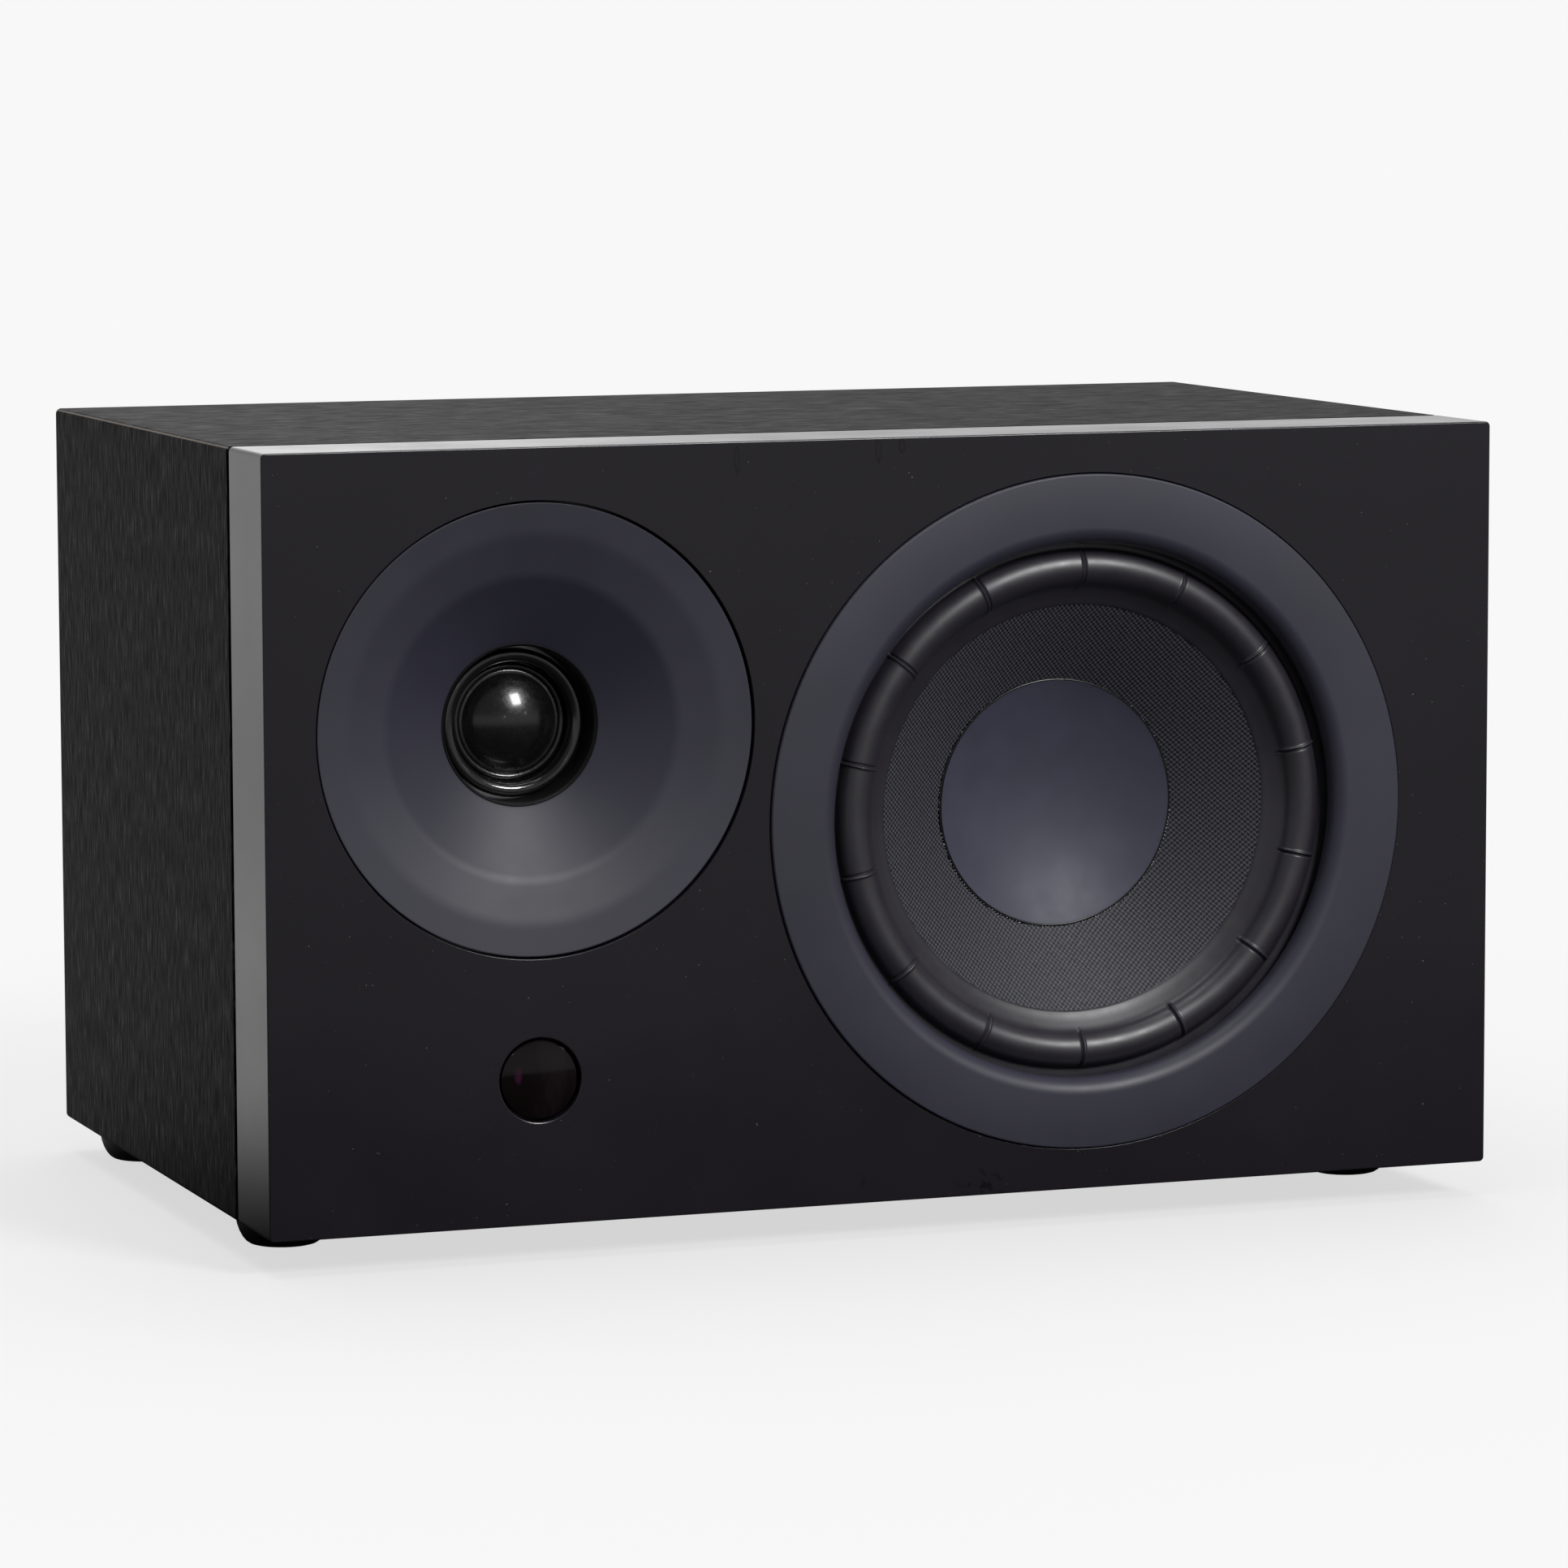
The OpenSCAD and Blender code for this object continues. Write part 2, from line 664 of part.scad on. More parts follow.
module woofer_terminals() {
  color([0.75, 0.6, 0.2]) at_woofer() {
    box(-seat_r - 12, -seat_r + 2.5, seat_d - seat_t - 1.6, seat_d - seat_t, -9, 9);
    for (z = [-5.5, 5.5]) box(-seat_r - 11, -seat_r - 3, seat_d - seat_t - 0.5, seat_d - seat_t + 9, z - 0.4, z + 0.4);
  }
}

module tweeter_waveguide() {
  color([0.2, 0.2, 0.22]) at_tweeter() difference() {
    turned() {
      polygon([
        at(guide_r, guide_in), at(guide_flat_r, guide_in + guide_fall), at(guide_mid_r, guide_mid_d), at(throat_r, throat_d),
        at(throat_r, tplate_d), at(tplate_r, tplate_d), at(tplate_r, tflange_d), at(throat_r + 4.5, tflange_d),
        at(throat_r + 4.5, throat_d + 4), at(guide_neck_r, guide_back_d + 2.5), at(guide_neck_r, guide_back_d), at(guide_r, guide_back_d)
      ]);
      intersection() {
        translate(at(flare_c_r, flare_c_d)) circle(r = flare_arc_r, $fn = 2 * round_fn);
        polygon([at(guide_mid_r, guide_mid_d), at(throat_r, throat_d), at(throat_r, guide_mid_d)]);
      }
    }
    around(4, tscrew_ring_r) disc(tscrew_r + 0.3, tflange_d - over, tplate_d + over);
  }
}

module tweeter_ring() {
  flange_top = tplate_d - tflange_t;
  crest_r = (gloss_r + gloss_in_r) / 2;
  half = (gloss_r - gloss_in_r) / 2;
  color([0.03, 0.03, 0.03]) at_tweeter() turned() {
    translate(at(gloss_in_r, flange_top)) square([gloss_r - gloss_in_r, flange_top - gloss_crest_d - half]);
    intersection() {
      translate(at(crest_r, gloss_crest_d + half)) circle(r = half, $fn = round_fn);
      translate(at(gloss_in_r, gloss_crest_d + half)) square([2 * half, half]);
    }
  }
}

module tweeter_dome() {
  color([0.02, 0.02, 0.02]) at_tweeter() turned() {
    intersection() {
      difference() {
        translate(at(0, dome_centre_d)) circle(r = dome_arc_r, $fn = 2 * round_fn);
        translate(at(0, dome_centre_d)) circle(r = dome_arc_r - membrane_t, $fn = 2 * round_fn);
      }
      translate(at(0, dome_d + membrane_t)) square([dome_lip_r, dome_h + 2]);
    }
    translate(at(dome_r - 0.3, dome_d + membrane_t)) square([dome_lip_r - dome_r + 0.3, membrane_t]);
  }
}

module tweeter_surround() {
  color([0.04, 0.04, 0.04]) at_tweeter() turned() {
    translate(at(tcoil_out_r + 0.05, tcoil_d + 0.5)) square([dome_lip_r - tcoil_out_r + 0.15, 0.5]);
    intersection() {
      difference() {
        translate(at(troll_mid_r, troll_d)) circle(r = troll_r, $fn = round_fn);
        translate(at(troll_mid_r, troll_d)) circle(r = troll_r - 0.35, $fn = round_fn);
      }
      translate(at(dome_lip_r, troll_d)) square([2 * troll_r, troll_r]);
    }
    translate(at(gloss_in_r - 0.45, tplate_d)) square([0.35, tplate_d - troll_d]);
    translate(at(gloss_in_r - 0.45, tplate_d)) square([gloss_r - gloss_in_r, tflange_t]);
  }
}

module tweeter_coil() {
  color([0.7, 0.4, 0.2]) at_tweeter() difference() {
    disc(tcoil_out_r, tcoil_d, tcoil_d + tcoil_l);
    disc(tcoil_in_r, tcoil_d - over, tcoil_d + tcoil_l + over);
  }
}

module tweeter_pole_plate() {
  color([0.4, 0.4, 0.42]) at_tweeter() difference() {
    disc(tplate_r, tplate_d, tplate_d + tplate_t);
    disc(tgap_out_r, tplate_d - over, tplate_d + tplate_t + over);
    around(4, tscrew_ring_r) disc(tscrew_r + 0.3, tplate_d - over, tplate_d + tplate_t + over);
  }
}

module tweeter_magnet() {
  color([0.09, 0.09, 0.1]) at_tweeter() difference() {
    disc(tmag_r, tmag_d, tyoke_d);
    disc(tmag_in_r, tmag_d - over, tyoke_d + over);
  }
}

module tweeter_yoke() {
  color([0.4, 0.4, 0.42]) at_tweeter() difference() {
    union() {
      disc(tmag_r - 1, tyoke_d, tyoke_d + tyoke_t);
      disc(tgap_in_r, tplate_d, tyoke_d + 1);
    }
    disc(4, tplate_d - over, tyoke_d + tyoke_t + over);
  }
}

module tweeter_rear_cup() {
  color([0.1, 0.1, 0.1]) at_tweeter() difference() {
    disc(tcup_r, tcup_d, tcup_d + tcup_l);
    disc(tcup_r - tcup_t, tcup_d - over, tcup_d + tcup_l - tcup_t);
  }
}

module tweeter_screws() {
  color([0.35, 0.35, 0.36]) at_tweeter() around(4, tscrew_ring_r) {
    disc(tscrew_r, tflange_d + 0.5, tmag_d + 0.5);
    disc(2.6, tmag_d, tmag_d + 1.8);
  }
}

module window_lens() {
  color([0.05, 0.03, 0.025]) at_window() {
    disc(lens_r, window_in, lens_seat_d + 1);
    disc(lens_flange_r, lens_seat_d, lens_seat_d + lens_flange_t);
  }
}

module receiver_board() {
  color([0.05, 0.2, 0.1]) at_window() {
    difference() {
      box(-receiver_w / 2, receiver_w / 2, baffle_t, baffle_t + pcb_t, -receiver_h / 2, receiver_h / 2);
      for (x = [-1, 1]) translate([x * (receiver_w / 2 - 2.5), 0, 0]) disc(1.5, baffle_t - over, baffle_t + pcb_t + over);
    }
    box(-7, -1, baffle_t - 6, baffle_t + 0.2, -3.5, 3.5);
    translate([4, 0, 0]) disc(2.5, baffle_t - 8, baffle_t + 0.2);
  }
}

module port_tube() {
  color([0.06, 0.06, 0.06]) at_port() mirror([0, 1, 0]) turned() {
    intersection() {
      translate(at(port_mouth_r, port_flare)) circle(r = port_flare, $fn = round_fn);
      translate(at(port_r, port_flare)) square([port_flare, port_flare]);
    }
    translate(at(port_mouth_r, port_flange_t)) square([port_flange_r - port_mouth_r, port_flange_t]);
    translate(at(port_r, port_len)) square([port_wall, port_len - port_flare]);
  }
}

module plate_screw_places() {
  for (x = [-1, 1]) for (z = [-1, 1]) at_plate(x * corner_screw_x, z * corner_screw_z) children();
  for (z = [-1, 1]) at_plate(0, z * corner_screw_z) children();
  for (x = [-1, 1]) at_plate(x * corner_screw_x, 0) children();
}

module amplifier_plate() {
  color([0.1, 0.1, 0.1]) difference() {
    at_plate(0, 0) box(-plate_w / 2, plate_w / 2, -plate_t, 0, -plate_h / 2, plate_h / 2);
    plate_screw_places() disc(screw_hole_r, -plate_t - over, over);
    at_plate(inlet_u, socket_v) box(-11, 11, -plate_t - over, over, -8.5, 8.5);
    at_plate(rocker_u, rocker_v) box(-7, 7, -plate_t - over, over, -10.6, 10.6);
    for (u = cinch_u) at_plate(u, socket_v) disc(4.7, -plate_t - over, over);
    at_plate(network_u, socket_v) box(-8.3, 8.3, -plate_t - over, over, -7.1, 7.1);
    at_plate(line_u, socket_v) disc(3.4, -plate_t - over, over);
    at_plate(button_u, socket_v) disc(button_r + 0.3, -plate_t - over, over);
  }
}

module plate_screws() {
  color([0.08, 0.08, 0.08]) plate_screw_places() difference() {
    union() {
      disc(screw_r, -rear_t + 3, 0.5);
      disc(3.2, 0, 1.8);
    }
    disc(1, 0.7, 1.8 + over);
  }
}

module amplifier_board() {
  top = plate_back - board_gap - pcb_t;
  color([0.05, 0.2, 0.1]) at_plate(amp_board_u, amp_board_v) {
    box(-amp_board_w / 2, amp_board_w / 2, top, top + pcb_t, -amp_board_h / 2, amp_board_h / 2);
    for (x = chip_u) box(x - chip_w / 2, x + chip_w / 2, top - chip_t, top + 0.2, chip_v - chip_h / 2, chip_v + chip_h / 2);
  }
}

module power_board() {
  top = plate_back - board_gap - pcb_t;
  color([0.05, 0.2, 0.1]) at_plate(power_board_u, power_board_v)
    box(-power_board_w / 2, power_board_w / 2, top, top + pcb_t, -power_board_h / 2, power_board_h / 2);
}

module input_board() {
  top = plate_back - input_gap - pcb_t;
  color([0.05, 0.2, 0.1]) at_plate(input_board_u, socket_v)
    box(-input_board_w / 2, input_board_w / 2, top, top + pcb_t, -input_board_h / 2, input_board_h / 2);
}

// Four places near the corners of a board, seen from the rear.
module board_corners(u, v, w, h) {
  for (x = [-1, 1]) for (z = [-1, 1]) at_plate(u + x * (w / 2 - post_in), v + z * (h / 2 - post_in)) children();
}

module board_posts() {
  color([0.7, 0.65, 0.4]) {
    board_corners(amp_board_u, amp_board_v, amp_board_w, amp_board_h) disc(board_post_r, plate_back - board_gap, plate_back);
    board_corners(power_board_u, power_board_v, power_board_w, power_board_h) disc(board_post_r, plate_back - board_gap, plate_back);
  }
}

module heat_block() {
  color([0.6, 0.6, 0.62]) at_plate(amp_board_u, heat_v)
    box(-heat_w / 2, heat_w / 2, plate_back - board_gap, plate_back, -heat_h / 2, heat_h / 2);
}

module transformer() {
  top = plate_back - board_gap - pcb_t;
  color([0.25, 0.2, 0.15]) at_plate(transformer_u, transformer_v) {
    box(-core_w / 2, core_w / 2, top - core_t, top, -core_h / 2, core_h / 2);
    box(-winding_w / 2, winding_w / 2, top - core_t + winding_in, top - winding_in, -winding_h / 2, winding_h / 2);
  }
}

module capacitors() {
  top = plate_back - board_gap - pcb_t;
  color([0.1, 0.1, 0.14]) for (z = [-1, 1]) at_plate(can_u, can_v + z * (can_r + can_gap / 2)) disc(can_r, top - can_l, top);
}

module wireless_module() {
  top = plate_back - input_gap - pcb_t;
  color([0.6, 0.6, 0.62]) at_plate(radio_u, socket_v) {
    box(-radio_w / 2, radio_w / 2, top - 1, top, -radio_h / 2, radio_h / 2);
    box(2 - radio_w / 2, radio_w / 2 - 7, top - radio_t, top - 0.8, 2 - radio_h / 2, radio_h / 2 - 2);
  }
}

module figure_eight(grow) {
  square([7, 8.6 + 2 * grow], center = true);
  for (x = [-3.5, 3.5]) translate([x, 0]) circle(r = 4.3 + grow, $fn = small_fn);
}

module mains_inlet() {
  color([0.05, 0.05, 0.05]) at_plate(inlet_u, socket_v) difference() {
    union() {
      box(-10.7, 10.7, -19, 0.5, -8.2, 8.2);
      box(-13, 13, 0, 1.5, -10, 10);
    }
    translate([0, 1.5 + over, 0]) rotate([90, 0, 0]) linear_extrude(14 + over) figure_eight(0);
    for (x = [-4.3, 4.3]) translate([x, 0, 0]) disc(1.6, -20, 0);
  }
}

module inlet_pins() {
  color([0.7, 0.7, 0.68]) for (x = [-4.3, 4.3]) at_plate(inlet_u + x, socket_v) {
    disc(1.2, -22, -3);
    disc(1.2, -3.5, -1.5);
    disc(2.4, -22, -19);
  }
}

module rocker_frame() {
  color([0.05, 0.05, 0.05]) at_plate(rocker_u, rocker_v) difference() {
    union() {
      box(-rocker_room_w / 2 - rocker_wall, rocker_room_w / 2 + rocker_wall, -16, 0.5, -rocker_room_half - 1.2, rocker_room_half + 1.2);
      box(-8.2, 8.2, 0, 1.4, -12, 12);
    }
    box(-rocker_room_w / 2, rocker_room_w / 2, rocker_room_o, 1.4 + over, -rocker_room_half, rocker_room_half);
    translate([-rocker_w / 2 - rocker_axle_l - 0.25, rocker_pivot_o, 0]) rotate([0, 90, 0])
      cylinder(r = rocker_axle_r + 0.05, h = rocker_w + 2 * rocker_axle_l + 0.5, $fn = small_fn);
  }
}

module power_rocker() {
  top = 3.2;
  end = top + rocker_half * tan(rocker_swing);
  color([0.07, 0.07, 0.07]) at_plate(rocker_u, rocker_v) translate([0, rocker_pivot_o, 0]) rotate([-rocker_swing, 0, 0]) {
    translate([-rocker_w / 2, 0, 0]) rotate([90, 0, 90]) linear_extrude(rocker_w) polygon([
      [end, -rocker_half], [top, 0], [end, rocker_half], [-0.8, rocker_half], [-2.6, 3], [-2.6, -3], [-0.8, -rocker_half]
    ]);
    translate([-rocker_w / 2 - rocker_axle_l, 0, 0]) rotate([0, 90, 0])
      cylinder(r = rocker_axle_r, h = rocker_w + 2 * rocker_axle_l, $fn = small_fn);
  }
}

module cinch_sockets() {
  color([0.6, 0.6, 0.6]) for (u = cinch_u) at_plate(u, socket_v) difference() {
    union() {
      disc(4.15, -3.5, cinch_out);
      disc(6, 0, 1.2);
      box(-5.5, 5.5, plate_back - input_gap, plate_back, -5.5, 5.5);
    }
    disc(1.7, 1, cinch_out + over);
  }
}

module network_socket() {
  color([0.5, 0.5, 0.5]) at_plate(network_u, socket_v) difference() {
    box(-8, 8, plate_back - input_gap, 0.4, -6.8, 6.8);
    box(-5.9, 5.9, -13, over, -4.6, 3.4);
    box(-3, 3, -13, over, 3, 5.2);
  }
}

module line_socket() {
  color([0.1, 0.1, 0.1]) at_plate(line_u, socket_v) difference() {
    union() {
      disc(3.1, -3.5, 2);
      disc(4.4, 0, 1.4);
      box(-5, 5, plate_back - input_gap, plate_back, -5, 5);
    }
    disc(1.8, -11, 2 + over);
  }
}

module setup_button() {
  color([0.2, 0.2, 0.2]) at_plate(button_u, socket_v) {
    disc(button_r, plate_back - 0.5, button_out);
    disc(button_r + 1.2, plate_back - 1.2, plate_back);
    disc(1.5, plate_back - input_gap + 4.4 + button_travel, plate_back - 1);
  }
}

module button_switch() {
  color([0.1, 0.1, 0.1]) at_plate(button_u, socket_v) {
    box(-3.1, 3.1, plate_back - input_gap, plate_back - input_gap + 3.5, -3.1, 3.1);
    disc(1.5, plate_back - input_gap + 3, plate_back - input_gap + 4.3);
  }
}

module foot(x, y) {
  color([0.03, 0.03, 0.03]) translate([x, y, 0]) difference() {
    rotate_extrude($fn = round_fn) difference() {
      union() {
        translate([0, 1.5]) square([foot_r, foot_h - 1.5]);
        square([foot_r - 1.5, foot_h]);
        translate([foot_r - 1.5, 1.5]) circle(r = 1.5, $fn = small_fn);
      }
      translate([-2, -over]) square([2, foot_h + 2 * over]);
    }
    translate([0, 0, -over]) cylinder(r = 4.6, h = 4 + over, $fn = round_fn);
    translate([0, 0, -over]) cylinder(r = screw_hole_r, h = foot_h + 2 * over, $fn = small_fn);
  }
}

foot_x = body_w / 2 - foot_side;
foot_front_y = front_y + foot_front;
foot_rear_y = rear_y - foot_rear;

module foot_front_left() {
  foot(-foot_x, foot_front_y);
}

module foot_front_right() {
  foot(foot_x, foot_front_y);
}

module foot_rear_left() {
  foot(-foot_x, foot_rear_y);
}

module foot_rear_right() {
  foot(foot_x, foot_rear_y);
}

module foot_screws() {
  color([0.35, 0.35, 0.36]) for (x = [-foot_x, foot_x]) for (y = [foot_front_y, foot_rear_y]) translate([x, y, 0]) difference() {
    union() {
      translate([0, 0, 1.6]) cylinder(r = 4, h = 2.4, $fn = small_fn);
      translate([0, 0, 3]) cylinder(r = screw_r, h = foot_h + 6, $fn = small_fn);
    }
    cylinder(r = 1.2, h = 2.6, $fn = small_fn);
  }
}

// A round lead that runs rearwards, crosses over along X at one depth and runs on rearwards.
module lead(x0, y0, x1, y1, cross_y, z) {
  side = x1 > x0 ? 1 : -1;
  translate([x0, cross_y - bend_r, z]) rotate([90, 0, 0]) cylinder(r = lead_r, h = cross_y - bend_r - y0, $fn = small_fn);
  translate([x0 + side * bend_r, cross_y - bend_r, z]) rotate([0, 0, side > 0 ? 90 : 0])
    rotate_extrude(angle = 90, $fn = 48) translate([bend_r, 0]) circle(r = lead_r, $fn = small_fn);
  translate([min(x0, x1) + bend_r, cross_y, z]) rotate([0, 90, 0]) cylinder(r = lead_r, h = abs(x1 - x0) - 2 * bend_r, $fn = small_fn);
  translate([x1 - side * bend_r, cross_y + bend_r, z]) rotate([0, 0, side > 0 ? 270 : 180])
    rotate_extrude(angle = 90, $fn = 48) translate([bend_r, 0]) circle(r = lead_r, $fn = small_fn);
  translate([x1, y1, z]) rotate([90, 0, 0]) cylinder(r = lead_r, h = y1 - cross_y - bend_r, $fn = small_fn);
}

module speaker_leads() {
  board_y = rear_y - plate_t - board_gap - pcb_t;
  board_x = plate_x + amp_board_u - amp_board_w / 2 + lead_in;
  tag_y = front_y + seat_d - seat_t + 9;
  cup_y = front_y + tcup_d + tcup_l;
  color([0.5, 0.1, 0.1]) {
    for (z = [-5.5, 5.5]) lead(woofer_x - seat_r - 7, tag_y, board_x, board_y, tag_y + 22, foot_h + woofer_z + z);
    for (z = [0, 5]) lead(tweeter_x + 10, cup_y, board_x, board_y, cup_y + 16, foot_h + tweeter_z + z);
  }
}

cabinet_shell();
rear_board();
front_baffle();
seam_gasket();
inner_brace();
damping_sheet();
woofer_trim_ring();
woofer_basket();
woofer_screws();
woofer_surround();
woofer_cone();
woofer_dust_cap();
woofer_coil_former();
woofer_voice_coil();
woofer_spider();
woofer_pole_plate();
woofer_magnet();
woofer_yoke();
woofer_terminals();
tweeter_waveguide();
tweeter_ring();
tweeter_dome();
tweeter_surround();
tweeter_coil();
tweeter_pole_plate();
tweeter_magnet();
tweeter_yoke();
tweeter_rear_cup();
tweeter_screws();
window_lens();
receiver_board();
port_tube();
amplifier_plate();
plate_screws();
amplifier_board();
power_board();
input_board();
board_posts();
heat_block();
transformer();
capacitors();
wireless_module();
mains_inlet();
inlet_pins();
rocker_frame();
power_rocker();
cinch_sockets();
network_socket();
line_socket();
setup_button();
button_switch();
foot_front_left();
foot_front_right();
foot_rear_left();
foot_rear_right();
foot_screws();
speaker_leads();
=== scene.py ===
import math

import bmesh
import bpy
import numpy as np
from mathutils import Matrix, Vector


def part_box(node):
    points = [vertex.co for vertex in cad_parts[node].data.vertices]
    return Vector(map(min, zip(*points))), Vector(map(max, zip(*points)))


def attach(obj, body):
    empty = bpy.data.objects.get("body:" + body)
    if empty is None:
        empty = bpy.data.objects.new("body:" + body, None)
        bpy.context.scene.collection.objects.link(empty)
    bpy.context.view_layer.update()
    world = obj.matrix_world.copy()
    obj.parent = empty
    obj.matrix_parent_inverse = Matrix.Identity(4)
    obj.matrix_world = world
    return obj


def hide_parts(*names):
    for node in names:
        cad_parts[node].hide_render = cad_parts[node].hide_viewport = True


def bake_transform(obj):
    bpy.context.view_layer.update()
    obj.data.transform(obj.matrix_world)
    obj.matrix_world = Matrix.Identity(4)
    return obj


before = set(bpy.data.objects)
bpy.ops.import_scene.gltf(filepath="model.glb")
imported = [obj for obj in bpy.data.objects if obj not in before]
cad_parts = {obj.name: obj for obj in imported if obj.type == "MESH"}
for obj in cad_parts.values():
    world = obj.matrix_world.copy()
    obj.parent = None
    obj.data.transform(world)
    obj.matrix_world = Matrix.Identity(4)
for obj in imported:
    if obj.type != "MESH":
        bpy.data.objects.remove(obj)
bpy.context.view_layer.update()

# Cabinet: four fibre-board walls folded from one board that is wrapped in black wood-grain foil.
# The grain runs round the cabinet, so it is upright on the sides and runs left to right on top.
# The foil has a satin print with open pores, and the walls' rear ends are sealed with black paint.
mm = 0.001
body_w, body_h = 340.0, 200.0
floor_to_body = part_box("cabinet_shell")[0].z / mm
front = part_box("front_baffle")[0].y / mm
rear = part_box("cabinet_shell")[1].y / mm
middle_z = floor_to_body + body_h / 2


def paint(code):
    """A screen colour such as 2a2a2e as linear light."""
    parts = [int(code[i:i + 2], 16) / 255 for i in (0, 2, 4)]
    return tuple(p / 12.92 if p <= 0.04045 else ((p + 0.055) / 1.055) ** 2.4 for p in parts) + (1.0,)


class Finish:
    """A material whose colour, roughness and relief come from small patterns in the piece's own millimetres."""

    def __init__(self, name, metallic=0.0, specular=0.5, coat=0.0, coat_rough=0.1, sheen=0.0, ior=1.5):
        self.m = bpy.data.materials.new(name)
        self.m.use_nodes = True
        self.n = self.m.node_tree.nodes
        self.shader = self.n["Principled BSDF"]
        for socket, value in (("Metallic", metallic), ("Specular IOR Level", specular), ("Coat Weight", coat),
                              ("Coat Roughness", coat_rough), ("Sheen Weight", sheen), ("IOR", ior)):
            self.shader.inputs[socket].default_value = value
        self.where = self.n.new("ShaderNodeTexCoord").outputs["Object"]

    def link(self, a, b):
        self.m.node_tree.links.new(a, b)

    def stretched(self, x=1.0, y=1.0, z=1.0):
        node = self.n.new("ShaderNodeVectorMath")
        node.operation = "MULTIPLY"
        node.inputs[1].default_value = (x / mm, y / mm, z / mm)
        self.link(self.where, node.inputs[0])
        return node.outputs[0]

    def noise(self, size, detail=3.0, rough=0.55, along=(1.0, 1.0, 1.0)):
        node = self.n.new("ShaderNodeTexNoise")
        node.inputs["Scale"].default_value = 1.0 / size
        node.inputs["Detail"].default_value = detail
        node.inputs["Roughness"].default_value = rough
        self.link(self.stretched(*along), node.inputs["Vector"])
        return node.outputs["Fac"]

    def ramp(self, value, stops):
        node = self.n.new("ShaderNodeValToRGB")
        marks = node.color_ramp.elements
        while len(marks) < len(stops):
            marks.new(0.5)
        for mark, (at, colour) in zip(marks, stops):
            mark.position, mark.color = at, colour
        self.link(value, node.inputs[0])
        return node.outputs[0]

    def span(self, value, low, high, start=0.3, stop=0.7):
        node = self.n.new("ShaderNodeMapRange")
        for i, v in enumerate((start, stop, low, high)):
            node.inputs[i + 1].default_value = v
        self.link(value, node.inputs[0])
        return node.outputs[0]

    def oval(self, x, z, wide, tall):
        """Zero in the middle of an uneven oval on the piece's front, one at its edge."""
        shift, scale, size = (self.n.new("ShaderNodeVectorMath") for _ in range(3))
        shift.operation, scale.operation, size.operation = "SUBTRACT", "MULTIPLY", "LENGTH"
        shift.inputs[1].default_value = (x * mm, 0, z * mm)
        scale.inputs[1].default_value = (1 / (wide * mm), 0, 1 / (tall * mm))
        self.link(self.where, shift.inputs[0])
        self.link(shift.outputs[0], scale.inputs[0])
        self.link(scale.outputs[0], size.inputs[0])
        total = self.n.new("ShaderNodeMath")
        self.link(size.outputs["Value"], total.inputs[0])
        self.link(self.span(self.noise(1.3), -0.3, 0.3), total.inputs[1])
        return total.outputs[0]

    def mix(self, share, a, b, blend="MIX"):
        node = self.n.new("ShaderNodeMix")
        node.data_type, node.blend_type = "RGBA", blend
        for socket, v in ((node.inputs[0], share), (node.inputs[6], a), (node.inputs[7], b)):
            if isinstance(v, bpy.types.NodeSocket):
                self.link(v, socket)
            else:
                socket.default_value = v
        return node.outputs[2]

    def colour(self, value):
        self.link(value, self.shader.inputs["Base Color"])
        return self

    def rough(self, value):
        self.link(value, self.shader.inputs["Roughness"])
        return self

    def relief(self, value, height):
        node = self.n.new("ShaderNodeBump")
        node.inputs["Distance"].default_value = height * mm
        self.link(value, node.inputs["Height"])
        if self.shader.inputs["Normal"].links:
            self.link(self.shader.inputs["Normal"].links[0].from_socket, node.inputs["Normal"])
        self.link(node.outputs[0], self.shader.inputs["Normal"])
        return self


def outline(w, h, r, inset=0.0, steps=6):
    """Points of a rounded rectangle in X and Z, set in by a little."""
    w, h, r = w / 2 - inset, h / 2 - inset, max(r - inset, 0.05)
    points = []
    for k, (sx, sz) in enumerate(((1, 1), (-1, 1), (-1, -1), (1, -1))):
        for i in range(steps + 1):
            a = math.radians(90 * k + 90 * i / steps)
            points.append((sx * (w - r) + r * math.cos(a), sz * (h - r) + r * math.sin(a)))
    return points


def shell_of(name, loops, capped, angle=35.0):
    """A mesh through loops of equal length, closed by caps or onto itself."""
    bm = bmesh.new()
    rings = [[bm.verts.new(Vector(p) * mm) for p in loop] for loop in loops]
    count = len(rings[0])
    pairs = list(zip(rings, rings[1:])) + ([] if capped else [(rings[-1], rings[0])])
    for a, b in pairs:
        for i in range(count):
            j = (i + 1) % count
            bm.faces.new((a[i], a[j], b[j], b[i]))
    if capped:
        bm.faces.new(rings[0])
        bm.faces.new(rings[-1])
    bmesh.ops.recalc_face_normals(bm, faces=bm.faces)
    return made(name, bm, angle)


def made(name, bm, angle=35.0):
    """A piece from its finished faces, with edges kept sharp where they turn by more than the angle."""
    data = bpy.data.meshes.new(name)
    bm.to_mesh(data)
    bm.free()
    data.shade_smooth()
    data.set_sharp_from_angle(angle=math.radians(angle))
    piece = bpy.data.objects.new(name, data)
    bpy.context.scene.collection.objects.link(piece)
    return piece


def even_shading(piece):
    """Flat faces stay flat beside small rounded edges."""
    fix = piece.modifiers.new("even", "WEIGHTED_NORMAL")
    fix.keep_sharp = True
    fix.weight = 60


